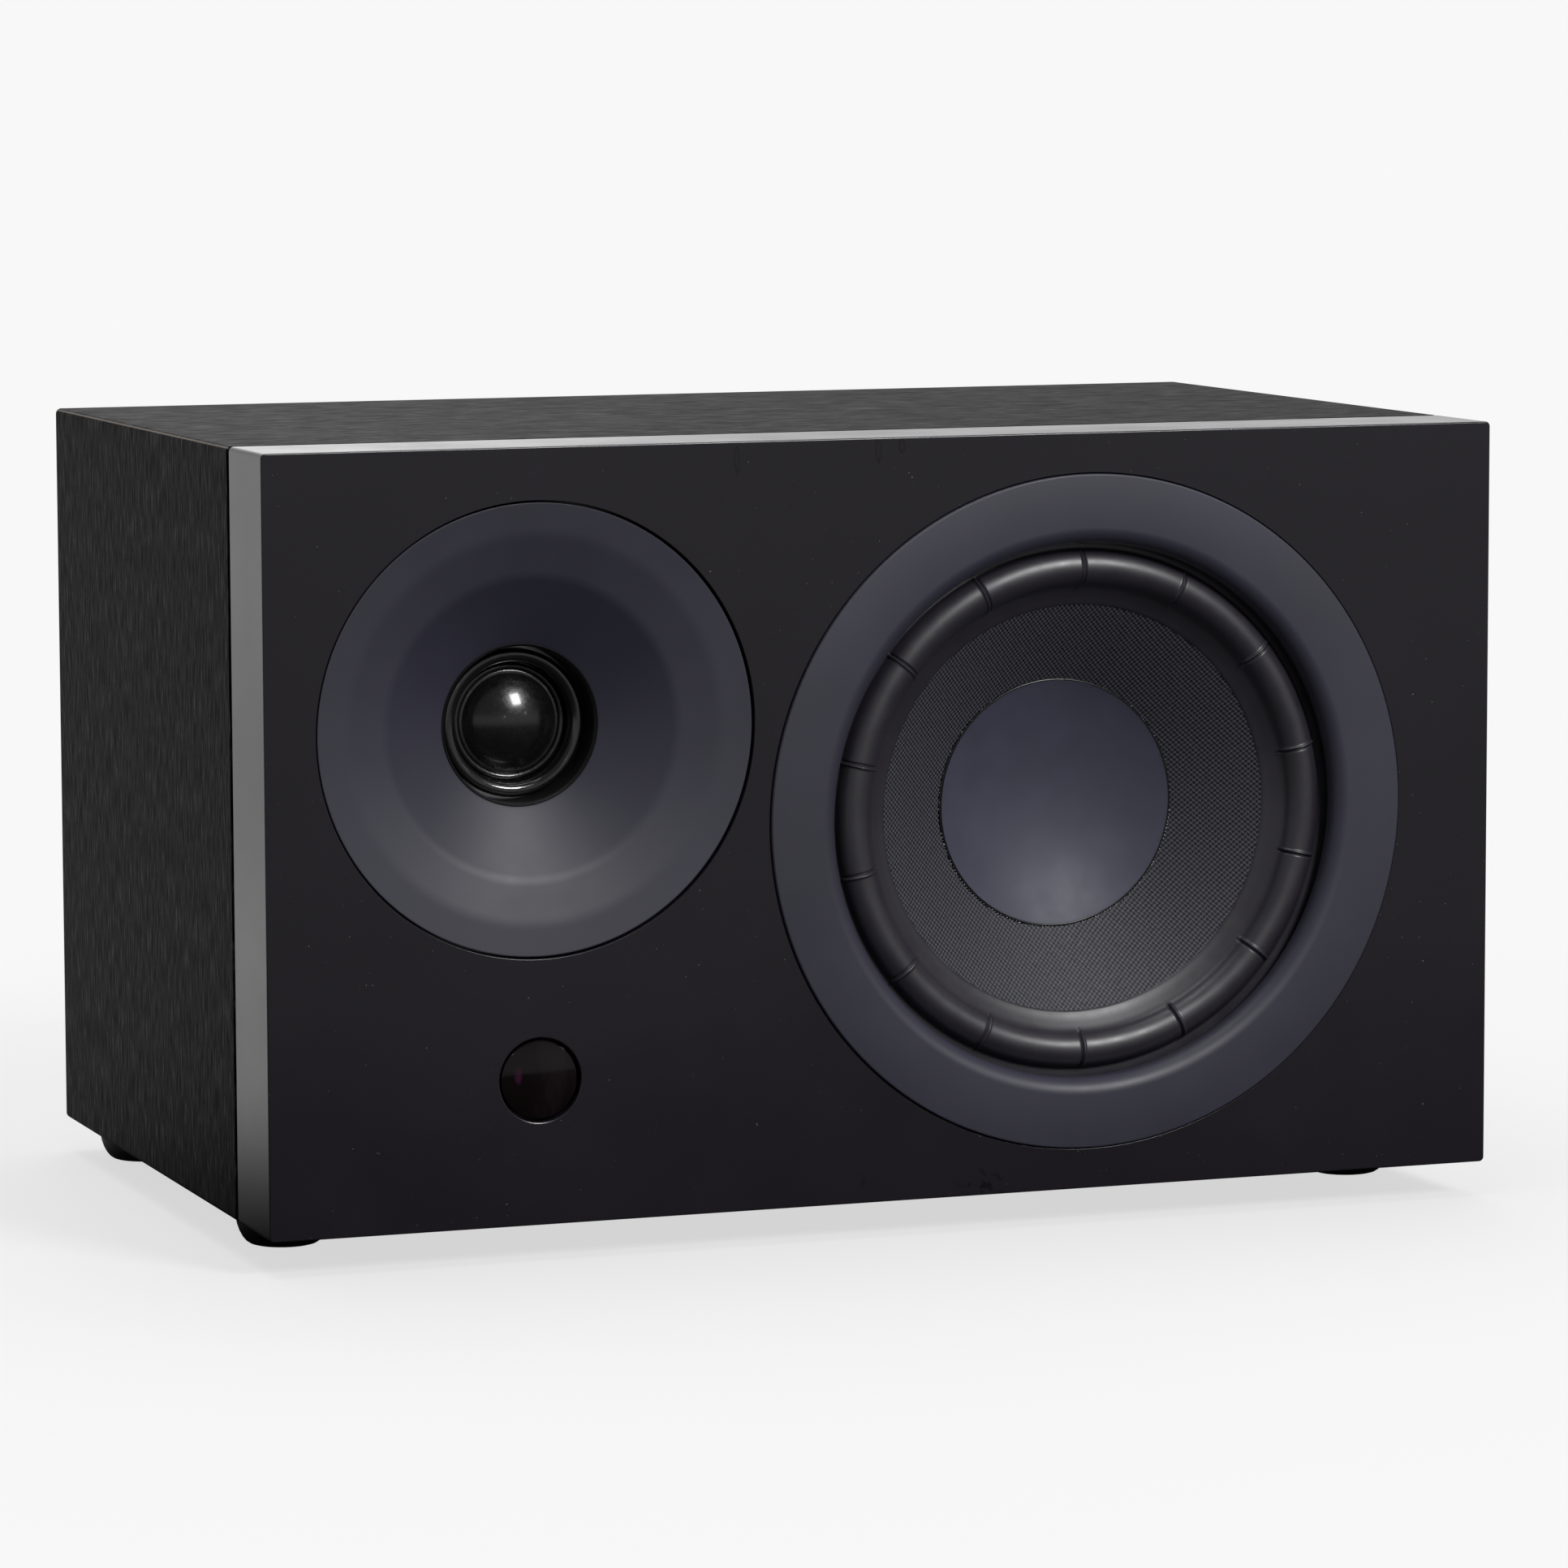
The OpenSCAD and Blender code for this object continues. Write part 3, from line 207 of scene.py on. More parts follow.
foil = Finish("black_woodgrain_foil", specular=0.03)
streak = foil.noise(0.85, detail=4.0, rough=0.6, along=(0.1, 1.0, 0.1))
fleck = foil.noise(0.4, detail=3.0, rough=0.6, along=(0.1, 1.0, 0.1))
cloud = foil.noise(38.0, detail=2.0, along=(0.5, 1.0, 0.5))
grain = foil.ramp(streak, [(0.36, paint("050405")), (0.47, paint("0d0b0c")),
                           (0.55, paint("1a1819")), (0.66, paint("363233"))])
pores = foil.ramp(fleck, [(0.40, (0.2, 0.2, 0.2, 1)), (0.50, (0.9, 0.9, 0.9, 1)), (0.62, (1.8, 1.75, 1.7, 1))])
tone = foil.ramp(cloud, [(0.25, (0.88, 0.88, 0.88, 1)), (0.75, (1.08, 1.07, 1.06, 1))])
wood_print = foil.mix(1.0, foil.mix(1.0, grain, pores, "MULTIPLY"), tone, "MULTIPLY")
sides, from_middle = foil.n.new("ShaderNodeSeparateXYZ"), foil.n.new("ShaderNodeMath")
foil.link(foil.where, sides.inputs[0])
from_middle.operation = "ABSOLUTE"
foil.link(sides.outputs["X"], from_middle.inputs[0])
# Painted highlight: a pale beige line along the left and right top edges, where the folded corners catch the light.
edge_highlight_starts, edge_highlight_full = 0.75, 0.4
top = floor_to_body + body_h
at_side = foil.span(from_middle.outputs[0], 0.0, 1.0, (body_w / 2 - edge_highlight_starts) * mm, (body_w / 2 - edge_highlight_full) * mm)
at_top = foil.span(sides.outputs["Z"], 0.0, 0.85, (top - edge_highlight_starts) * mm, (top - edge_highlight_full) * mm)
print_with_edge_highlight = foil.mix(foil.mix(at_side, (0, 0, 0, 1), at_top), wood_print, paint("8e867e"))
at_end = foil.span(sides.outputs["Y"], 0.0, 1.0, (rear - 0.2) * mm, (rear - 0.1) * mm)
foil.colour(foil.mix(at_end, print_with_edge_highlight, paint("171718")))
foil.rough(foil.span(streak, 0.62, 0.46, 0.4, 0.6))
foil.relief(fleck, 0.08)
foil.relief(streak, 0.04)

fold_r = 1.5
board_and_joint = 32.0
shell_front = front + board_and_joint
wall = 15.0
inner = outline(body_w - 2 * wall, body_h - 2 * wall, 0.3)
soft, half_soft = 0.4, 0.12
profile = [(soft, shell_front), (half_soft, shell_front + half_soft), (0.0, shell_front + soft)]
profile += [(0.0, rear - soft), (half_soft, rear - half_soft), (soft, rear)]
loops = [[(x, y, middle_z + z) for x, z in outline(body_w, body_h, fold_r, inset)] for inset, y in profile]
loops += [[(x, rear, middle_z + z) for x, z in inner], [(x, shell_front, middle_z + z) for x, z in inner]]
cabinet = shell_of("cabinet_wrap", loops, capped=False)
cabinet.data.materials.append(foil.m)
even_shading(cabinet)
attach(cabinet, "cabinet")
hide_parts("cabinet_shell")

# Rear board, brace, foam gasket and damping sheet: the boards are machined fibre board, the rear
# one rolled with matt black paint; the gasket is closed-cell foam that shows as a dark joint.
# The sheet is polyester wadding, stapled to the left wall.


def plain_finish(name, dark, pale, size, rough, relief=0.0, relief_size=0.3, **kinds):
    """A finish with a faint cloudiness, uneven gloss and a fine surface grain."""
    f = Finish(name, **kinds)
    f.colour(f.ramp(f.noise(size), [(0.3, paint(dark)), (0.7, paint(pale))]))
    f.rough(f.span(f.noise(size * 0.6), rough - 0.04, rough + 0.04))
    if relief:
        f.relief(f.noise(relief_size, detail=2.0), relief)
    return f


def dress(finish, body_slot, *nodes):
    """Gives a finish to pieces that keep the form of their solids."""
    for n in nodes:
        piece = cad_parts[n]
        piece.data.materials.clear()
        piece.data.materials.append(finish.m)


rear_paint = plain_finish("rolled_matt_black", "151516", "1c1c1d", 18.0, 0.72, relief=0.06, relief_size=0.9)
dress(rear_paint, "rear_paint", "rear_board")
raw_board = plain_finish("raw_fibre_board", "8a6a48", "9d7c58", 3.0, 0.85, relief=0.03, relief_size=0.4)
dress(raw_board, "raw_board", "inner_brace")
foam = plain_finish("gasket_foam_black", "040404", "0a0a0a", 2.0, 0.95, relief=0.05, relief_size=0.5)
dress(foam, "gasket_foam", "seam_gasket")
wadding = plain_finish("white_wadding", "c8c6bd", "e2e0d8", 4.0, 0.95, relief=0.6, relief_size=2.5, sheen=0.3)
dress(wadding, "wadding", "damping_sheet")

# Front board: 30 mm fibre board, sprayed with a satin black lacquer and rubbed smooth. Its front
# edges are rounded by about half a millimetre. Rebates take the waveguide, the bass driver's ring and
# the remote window, each with a slightly softened rim.
lacquer = Finish("satin_black_lacquer", specular=0.5)
haze = lacquer.noise(70.0, detail=2.0)
peel = lacquer.noise(1.6, detail=2.0)
dust = lacquer.noise(0.8, detail=1.0)
skin = lacquer.ramp(haze, [(0.3, paint("1c191f")), (0.7, paint("201d23"))])
skin = lacquer.mix(lacquer.span(dust, 0.0, 1.0, 0.80, 0.83), skin, paint("6a6a6c"))
loop = [(0.45, (0, 0, 0, 1)), (0.75, (0.8, 0.8, 0.8, 1)), (0.95, (0.8, 0.8, 0.8, 1)), (1.15, (0, 0, 0, 1))]
loop_end = 1.2
loop_marks = ((-43.6, 204.8, 0.7, 3.4), (-4.8, 206.2, 0.9, 3.0), (1.7, 207.2, 0.9, 1.8))
rubbed_spots = ((24.0, 13.0, 9.0, 6.0), (-11.0, 15.6, 3.0, 2.5))
mark_dark = paint("0a080b")
for x, z, wide, tall in loop_marks:
    across_loop = lacquer.span(lacquer.oval(x, z, wide, tall), 0.0, 1.0, 0.0, loop_end)
    skin = lacquer.mix(lacquer.ramp(across_loop, [(at / loop_end, magenta_spot) for at, magenta_spot in loop]), skin, mark_dark)
blotch = lacquer.span(lacquer.noise(2.6, detail=4.0), 0.0, 1.0, 0.52, 0.58)
for x, z, wide, tall in rubbed_spots:
    near_it = lacquer.span(lacquer.oval(x, z, wide, tall), 0.9, 0.0, 0.4, 1.0)
    skin = lacquer.mix(lacquer.mix(near_it, (0, 0, 0, 1), blotch), skin, mark_dark)
lacquer.colour(skin)
lacquer.rough(lacquer.span(lacquer.noise(25.0), 0.19, 0.25))
lacquer.relief(peel, 0.0015)

baffle_t, corner_r, edge_r = 30.0, 1.3, 0.45
quarter = [math.radians(15 * i) for i in range(7)]
profile = [(edge_r - edge_r * math.sin(a), edge_r - edge_r * math.cos(a)) for a in quarter]
profile += [(0.0, baffle_t - soft), (half_soft, baffle_t - half_soft), (soft, baffle_t)]
board = shell_of("front_board", [[(x, front + d, middle_z + z) for x, z in outline(body_w, body_h, corner_r, inset)]
                                 for inset, d in profile], capped=True)

woofer = (54.4, middle_z)
tweeter = (-97.7, floor_to_body + 127.6)
window = (-97.7, floor_to_body + 37.6)


def arc(r, d, radius, start, stop, steps=8):
    """Points of an arc about a radius and depth; 0 degrees points outwards, 90 towards the front."""
    angles = [math.radians(start + (stop - start) * i / steps) for i in range(steps + 1)]
    return [(r + radius * math.cos(a), d - radius * math.sin(a)) for a in angles]


def turned(name, points, centre, steps=192, angle=35.0, ring=True):
    """A turned piece from radii and depths. A ring is closed onto itself; otherwise both ends meet the axis."""
    bm = bmesh.new()
    rows = []
    for r, d in points:
        y = (front + d) * mm
        if r < 1e-6:
            rows.append([bm.verts.new((centre[0] * mm, y, centre[1] * mm))])
        else:
            turn = [2 * math.pi * i / steps for i in range(steps)]
            rows.append([bm.verts.new(((centre[0] + r * math.cos(a)) * mm, y, (centre[1] + r * math.sin(a)) * mm))
                         for a in turn])
    for a, b in list(zip(rows, rows[1:])) + ([(rows[-1], rows[0])] if ring else []):
        for i in range(steps):
            j = (i + 1) % steps
            corner = [a[i % len(a)], a[j % len(a)], b[j % len(b)], b[i % len(b)]]
            face = [v for k, v in enumerate(corner) if v not in corner[:k]]
            if len(face) > 2:
                bm.faces.new(face)
    bmesh.ops.recalc_face_normals(bm, faces=bm.faces)
    return made(name, bm, angle)


def cut(piece, cutter):
    """Takes the cutter's shape out of the piece and removes the cutter."""
    step = piece.modifiers.new("cut", "BOOLEAN")
    step.operation, step.solver, step.object = "DIFFERENCE", "EXACT", cutter
    graph = bpy.context.evaluated_depsgraph_get()
    data = bpy.data.meshes.new_from_object(piece.evaluated_get(graph))
    piece.modifiers.clear()
    piece.data = data
    bpy.data.objects.remove(cutter)


past = 2.0


def rebate(radius, depth, through, rim_r=0.15):
    """A cutter with a flat seat at its depth, a narrower hole behind it and a slightly softened rim."""
    rim = [(0.0, -past), (radius + rim_r, -past), (radius + rim_r, 0.0)]
    for a in (math.radians(22.5 * i) for i in range(1, 5)):
        rim.append((radius + rim_r - rim_r * math.sin(a), rim_r - rim_r * math.cos(a)))
    return rim + [(radius, depth), (through, depth), (through, baffle_t + past), (0.0, baffle_t + past)]


cut(board, turned("cut_woofer", rebate(89.4, 12.1, 77.0), woofer, ring=False))
cut(board, turned("cut_tweeter", rebate(58.75, 5.9, 41.0), tweeter, ring=False))
window_r, window_seat_r, window_seat_d = 11.0, 16.0, 8.0
window_cut = [(0.0, -past), (window_r + 0.3, -past), (window_r + 0.3, 0.0), (window_r + 0.08, 0.08), (window_r, 0.3)]
window_cut += [(window_r, window_seat_d), (window_seat_r, window_seat_d)]
window_cut += [(window_seat_r, baffle_t + past), (0.0, baffle_t + past)]
cut(board, turned("cut_window", window_cut, window, steps=96, ring=False))
board.data.shade_smooth()
board.data.set_sharp_from_angle(angle=math.radians(40))
even_shading(board)
board.data.materials.clear()
board.data.materials.append(lacquer.m)
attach(board, "cabinet")
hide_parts("front_baffle")

# Bass driver's trim ring: a moulded ring with a fine matt charcoal coat that hides the screws of
# the cast basket. It stands a little out of the board, and its rounded inner lip presses the
# surround's rim down.
charcoal = Finish("matt_charcoal_coat", specular=0.65)
charcoal.colour(charcoal.ramp(charcoal.noise(45.0, detail=2.0), [(0.3, paint("2f2e3b")), (0.7, paint("343342"))]))
charcoal.rough(charcoal.span(charcoal.noise(20.0), 0.46, 0.54))
charcoal.relief(charcoal.noise(0.35, detail=2.0), 0.012)

ring_r, ring_flat, lip_r, proud, foot_d = 89.1, 75.0, 4.4, 0.8, 7.3
flange_d = foot_d + 0.8
points = [(ring_r, flange_d)] + arc(ring_r - 0.5, 0.5 - proud, 0.5, 0, 90, 5)
points += arc(ring_flat, lip_r - proud, lip_r, 90, 237, 26)
ring_back_r = 74.7
points += [(ring_back_r, foot_d), (ring_back_r, flange_d)]
trim = turned("trim_ring", points, woofer, steps=256)
trim.data.materials.append(charcoal.m)
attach(trim, "cabinet")
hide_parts("woofer_trim_ring")

# Surround: a moulded half roll of butyl rubber with fourteen stiffening ribs, glued to the basket
# at its outer foot and to the cone by a sloping skirt. It is cut into one wedge for each rib.
rubber = Finish("satin_butyl_rubber", specular=0.85)
rubber.colour(rubber.ramp(rubber.noise(14.0), [(0.3, paint("252229")), (0.7, paint("2c2931"))]))
rubber.rough(rubber.span(rubber.noise(5.0), 0.37, 0.45))
rubber.relief(rubber.noise(0.5, detail=2.0), 0.01)

roll_out, roll_in, roll_h, rubber_t = 68.8, 59.2, 3.9, 0.8
cone_r, cone_d, cone_slope = 54.2, 10.5, 0.656
roll_mid, roll_half = (roll_out + roll_in) / 2, (roll_out - roll_in) / 2
roll_arc = (roll_half ** 2 + roll_h ** 2) / (2 * roll_h)
roll_deep = foot_d - roll_h + roll_arc
swing = math.degrees(math.asin(roll_half / roll_arc))
rim_r = 74.2
outer_foot = [(rim_r, foot_d), (roll_out + 0.7, foot_d), (roll_out + 0.25, foot_d - 0.08),
              (roll_out - 0.02, foot_d - 0.3)]
skirt = [(roll_in + 0.22, foot_d - 0.85), (roll_in - 0.1, foot_d - 0.35), (roll_in - 0.6, foot_d + 0.12),
         (roll_in - 1.3, foot_d + 0.62), (roll_in - 2.4, foot_d + 1.35)]
landing = [(cone_r + 1.0, cone_d - 0.8), (cone_r + 0.3, cone_d - 0.5), (cone_r - 0.1, cone_d - 0.2),
           (cone_r - 0.3, cone_d + 0.05)]
upper = outer_foot + arc(roll_mid, roll_deep, roll_arc, 90 - swing + 7, 90 + swing - 16, 26) + skirt + landing
ribs = 14
rib_step = 2 * math.pi / ribs
rib_side, rib_wide, rib_high = 0.30, 0.34, 0.42
groove_side, groove_wide, groove_deep = 0.42, 0.26, 0.38


def sheet_wedge(name, line, thick, centre, mid, lift, steps):
    """One wedge of a turned rubber or cloth ring: a line of radii and depths, swept over an angle and thickened."""
    bm = bmesh.new()
    rows = {0: [], 1: []}
    ends = [line[0]] + line + [line[-1]]
    for side in (0, 1):
        for a in steps:
            row = []
            for k, (r, d) in enumerate(line):
                run, fall = ends[k + 2][0] - ends[k][0], ends[k + 2][1] - ends[k][1]
                out = (lift(r, d, a * r) if side == 0 else -thick) / math.hypot(run, fall)
                r2, d2 = r - fall * out, d + run * out
                x, z = centre[0] + r2 * math.cos(mid + a), centre[1] + r2 * math.sin(mid + a)
                row.append(bm.verts.new((x * mm, (front + d2) * mm, z * mm)))
            rows[side].append(row)
    n, m = len(steps), len(line)
    for side in (0, 1):
        for i in range(n - 1):
            for k in range(m - 1):
                bm.faces.new((rows[side][i][k], rows[side][i + 1][k], rows[side][i + 1][k + 1], rows[side][i][k + 1]))
    for i in range(n - 1):
        for k in (0, m - 1):
            bm.faces.new((rows[0][i][k], rows[0][i + 1][k], rows[1][i + 1][k], rows[1][i][k]))
    for k in range(m - 1):
        for i in (0, n - 1):
            bm.faces.new((rows[0][i][k], rows[0][i][k + 1], rows[1][i][k + 1], rows[1][i][k]))
    bmesh.ops.recalc_face_normals(bm, faces=bm.faces)
    return made(name, bm, 50)


def rib_lift(r, d, s):
    """A narrow bead with a groove beside it, fading out towards both feet of the roll."""
    fade = min(1.0, max(0.0, (foot_d - 0.15 - d) / 0.7))
    bead_part = rib_high * math.exp(-((s - rib_side) / rib_wide) ** 2)
    return fade * (bead_part - groove_deep * math.exp(-((s + groove_side) / groove_wide) ** 2))


fine = [i * 0.14 / roll_mid for i in range(-11, 12)]
coarse = [i * rib_step / 2 / 8 for i in range(1, 9)]
turns = [-a for a in reversed(coarse)] + fine + coarse
for k in range(ribs):
    mid = math.pi / 2 + k * rib_step
    wedge = sheet_wedge("surround_%02d" % (k + 1), upper, rubber_t, woofer, mid, rib_lift, turns)
    wedge.data.materials.append(rubber.m)
    near, far = (roll_in - 0.2), roll_out * math.cos(rib_step / 2)
    way = Vector((math.cos(mid), 0, math.sin(mid)))
    heart = Vector((woofer[0], front + foot_d, woofer[1]))
    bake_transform(wedge)
    if k == 0:
        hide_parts("woofer_surround")

# Cone: stiff cloth, plain woven from two sets of coated threads about a millimetre apart and
# pressed into a cone. The threads keep their straight lattice, turned by 45 degrees. Their colour
# follows their height: painted highlight on the raised crowns, painted shade in the low gaps.
backing = plain_finish("cone_coating_black", "070708", "0c0c0d", 6.0, 0.6)
neck_r = 19.0
neck_d = cone_d + (cone_r - neck_r) * cone_slope
body_line = [(cone_r + 0.5, cone_d), (cone_r - 0.5, cone_d + 0.55), (neck_r, neck_d + 0.1),
             (neck_r, neck_d + 0.6), (neck_r + 1.5, neck_d + 0.6), (cone_r + 1.2, cone_d)]
cone = turned("cone_body", body_line, woofer, steps=160)
cone.data.materials.append(backing.m)
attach(cone, "bass_cone")
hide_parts("woofer_cone")

pitch, inner_r, outer_r = 0.96, 32.0, 54.4
thread_high, thread_wave, thread_round = 0.16, 0.07, 2.4
cell = pitch / 3
half_count = int(outer_r / cell) + 2
lattice = np.arange(-half_count, half_count + 1)
gu, gv = np.meshgrid(lattice, lattice, indexing="ij")
u, v = gu * cell, gv * cell
gx, gz = (u - v) / math.sqrt(2), (u + v) / math.sqrt(2)
radius = np.hypot(gx, gz)
ku, kv = gu / 3.0, gv / 3.0
over_u = np.cos(np.pi * ku) * np.cos(np.pi * np.round(kv))
over_v = -np.cos(np.pi * kv) * np.cos(np.pi * np.round(ku))
across_u = 1 - (2 * np.abs(kv - np.round(kv))) ** 2 * thread_round
across_v = 1 - (2 * np.abs(ku - np.round(ku))) ** 2 * thread_round
height = np.maximum(across_u * thread_high + over_u * thread_wave, across_v * thread_high + over_v * thread_wave)
depth = cone_d + (cone_r - radius) * cone_slope - height
keep = (radius > inner_r) & (radius < outer_r)
index = -np.ones(radius.shape, int)
index[keep] = np.arange(keep.sum())
spots = np.stack([(woofer[0] + gx[keep]) * mm, (front + depth[keep]) * mm, (woofer[1] + gz[keep]) * mm], 1)
quads = np.stack([index[:-1, :-1], index[1:, :-1], index[1:, 1:], index[:-1, 1:]], -1).reshape(-1, 4)
quads = quads[(quads >= 0).all(1)]
weave_data = bpy.data.meshes.new("cone_weave")
weave_data.from_pydata(spots.tolist(), [], quads.tolist())
weave_data.shade_smooth()
mark = weave_data.attributes.new("thread", "FLOAT", "POINT")
mark.data.foreach_set("value", height[keep].astype(np.float32))
weave = bpy.data.objects.new("cone_weave", weave_data)
bpy.context.scene.collection.objects.link(weave)
thread = Finish("coated_thread", specular=0.35)
held = thread.n.new("ShaderNodeAttribute")
held.attribute_name = "thread"
# Painted light: the threads are lighter on their raised crowns, as highlight, and near black in the low gaps, as
# shade.
raised = thread.span(held.outputs["Fac"], 0.0, 1.0, -0.02, 0.2)
crown_highlight_and_gap_shade = thread.ramp(raised, [(0.0, paint("030304")), (0.45, paint("1c1c22")), (1.0, paint("64646f"))])
mottle = thread.ramp(thread.noise(0.7), [(0.35, paint("101012")), (0.65, paint("4a4a50"))])
thread.colour(thread.mix(0.25, crown_highlight_and_gap_shade, mottle))
thread.rough(thread.span(thread.noise(1.2), 0.48, 0.62))
weave.data.materials.append(thread.m)
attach(weave, "bass_cone")

# Dust cap: a soft matt moulding, hollow towards the listener and glued on the cone with a thin
# black bead of adhesive. A row of pale dots along its lower edge, and a few scattered ones, are painted glints on the
# threads at the glue.
cap_r, cap_hollow, cap_t = 32.6, 8.0, 0.8
cap_rim = cone_d + (cone_r - cap_r) * cone_slope - 0.3 - cap_t
cap_arc = (cap_r ** 2 + cap_hollow ** 2) / (2 * cap_hollow)
cap_deep = cap_rim + cap_hollow - cap_arc
felt = Finish("soft_matt_moulding", specular=0.45, sheen=0.05)
felt.colour(felt.ramp(felt.noise(12.0), [(0.3, paint("424252")), (0.7, paint("48485a"))]))
felt.rough(felt.span(felt.noise(8.0), 0.48, 0.55))
felt.relief(felt.noise(0.4, detail=2.0), 0.01)
points = [(0.0, cap_rim + cap_hollow)]
points += [(r, cap_deep + math.sqrt(cap_arc ** 2 - r * r)) for r in np.linspace(1.0, cap_r - 0.3, 40)]
points += [(cap_r - 0.08, cap_rim + 0.02), (cap_r, cap_rim + 0.2), (cap_r, cap_rim + 0.75)]
points += [(r, cap_deep + math.sqrt((cap_arc + cap_t) ** 2 - r * r)) for r in np.linspace(cap_r - 0.6, 1.0, 24)]
points += [(0.0, cap_rim + cap_hollow + cap_t)]
cap = turned("dust_cap", points, woofer, steps=192, ring=False)
cap.data.materials.append(felt.m)
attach(cap, "bass_cone")
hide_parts("woofer_dust_cap")

glue = plain_finish("black_adhesive", "050506", "0b0b0c", 3.0, 0.3)
bead = turned("cap_glue", arc(cap_r + 0.25, cap_rim + 0.55, 0.42, 0, 345, 11), woofer, steps=192, angle=80)
bead.data.materials.append(glue.m)
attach(bead, "bass_cone")

# Painted highlight: pale dots that stand for glints of light on the cut threads along the cap's edge, in a regular
# row at the bottom.
fibre = plain_finish("painted_glints_at_cap_edge", "9a9aa2", "d8d8e0", 0.5, 0.4)
bm = bmesh.new()
rng = np.random.default_rng(7)
glint_count, even_count, glint_step = 150, 98, 0.95
for k in range(glint_count):
    even = k < even_count
    a = math.radians(192) + k * glint_step / cap_r if even else math.radians(rng.uniform(-10, 190))
    r = cap_r + rng.uniform(0.52, 0.68)
    d = cone_d + (cone_r - r) * cone_slope - rng.uniform(0.35, 0.5)
    size = rng.uniform(0.08, 0.15) if even else rng.uniform(0.05, 0.09)
    at = Vector(((woofer[0] + r * math.cos(a)) * mm, (front + d) * mm, (woofer[1] + r * math.sin(a)) * mm))
    turn = Matrix.Rotation(rng.uniform(0, 6.28), 4, "Y") @ Matrix.Diagonal((rng.uniform(1.0, 2.6), 1.0, 1.0, 1.0))
    bmesh.ops.create_icosphere(bm, subdivisions=1, radius=size * mm, matrix=Matrix.Translation(at) @ turn)
glint_dots = made("cap_edge_glints", bm)
glint_dots.data.materials.append(fibre.m)
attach(glint_dots, "bass_cone")

# Motor of the bass driver: cast basket, amber coil former with a copper coil, corrugated cloth
# spider, ferrite magnet between two turned steel plates, terminal strip and flange screws. The
# tweeter's motor has the same finishes, and all of these pieces keep the form of their solids.
powder = plain_finish("basket_powder_coat", "121212", "1a1a1a", 8.0, 0.5, relief=0.03, relief_size=0.6)
dress(powder, "basket_paint", "woofer_basket")
zinc = plain_finish("zinc_screw", "8e8e8c", "a8a8a4", 2.0, 0.35, metallic=1.0)
dress(zinc, "screw_steel", "woofer_screws", "tweeter_screws", "foot_screws")
amber = plain_finish("amber_film", "a8661a", "c07c26", 3.0, 0.3, coat=0.3)
dress(amber, "former_film", "woofer_coil_former")
copper = plain_finish("enamelled_copper", "a85a2c", "c4743c", 1.0, 0.3, metallic=1.0, relief=0.05, relief_size=0.3)
dress(copper, "copper", "woofer_voice_coil", "tweeter_coil")
resin = plain_finish("resin_cloth", "a4752c", "b88a3c", 1.5, 0.7, relief=0.1, relief_size=0.4)
dress(resin, "spider_cloth", "woofer_spider")
steel = plain_finish("zinc_plated_steel", "9a9a9c", "b0b0b2", 6.0, 0.32, metallic=1.0)
dress(steel, "plate_steel", "woofer_pole_plate", "woofer_yoke", "tweeter_pole_plate", "tweeter_yoke")
ferrite = plain_finish("ferrite_grey", "2c2c2f", "38383c", 2.0, 0.6, relief=0.02)
dress(ferrite, "ferrite", "woofer_magnet", "tweeter_magnet")
brass = plain_finish("tinned_brass", "b08e4c", "c8a864", 2.0, 0.3, metallic=1.0)
dress(brass, "tag_brass", "woofer_terminals", "board_posts")

# Waveguide: a turned horn with a flat rim, two soft creases and a flare down to the dome, with
# the same charcoal coat as the bass driver's ring. It lies slightly below the board's face with a
# narrow gap around it. A black sleeve lines the throat.
guide_r, guide_in, guide_t = 58.2, 0.9, 5.0
bends = [(guide_r - 0.2, guide_in), (50.0, guide_in + 1.0), (39.0, 4.6), (21.4, 14.8)]
crease, sharp, hold = 1.4, 0.25, 0.3
points = arc(guide_r - 0.2, guide_in + 0.2, 0.2, 0, 90, 4)
for k, (wide, narrow) in enumerate(zip(bends, bends[1:])):
    length = math.hypot(wide[0] - narrow[0], wide[1] - narrow[1])
    begin, end = (sharp if k == 0 else crease), (sharp if k == 2 else crease)
    for share in (begin / length, (begin + hold) / length, 1 - (end + hold) / length, 1 - end / length):
        points.append((wide[0] + (narrow[0] - wide[0]) * share, wide[1] + (narrow[1] - wide[1]) * share))
    if k < 2:
        after = bends[k + 2]
        onward = math.hypot(after[0] - narrow[0], after[1] - narrow[1])
        start = points[-1]
        stop = tuple(narrow[i] + (after[i] - narrow[i]) * crease / onward for i in (0, 1))
        for t in (0.25, 0.5, 0.75):
            curve = ((1 - t) ** 2 * start[i] + 2 * t * (1 - t) * narrow[i] + t * t * stop[i] for i in (0, 1))
            points.append(tuple(curve))
throat_r, shoulder_r, back_r = 21.0, 25.5, 40.2
points += [(throat_r + 0.15, 14.98), (throat_r, 15.4), (throat_r, 22.0), (shoulder_r, 22.0), (shoulder_r, 19.0)]
points += [(back_r, 8.4), (back_r, guide_in + guide_t), (guide_r, guide_in + guide_t)]
guide = turned("waveguide", points, tweeter, steps=256, angle=30)
guide.data.materials.append(charcoal.m)
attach(guide, "cabinet")
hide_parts("tweeter_waveguide")

throat = plain_finish("throat_black", "060607", "0b0b0c", 5.0, 0.5)
sleeve_line = [(20.9, 14.9), (20.3, 15.6), (20.3, 26.4), (21.2, 26.4), (38.0, 26.4), (38.0, 22.6), (25.0, 22.6),
               (21.2, 22.6), (21.2, 15.2)]
sleeve = turned("throat_sleeve", sleeve_line, tweeter)
sleeve.data.materials.append(throat.m)
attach(sleeve, "cabinet")
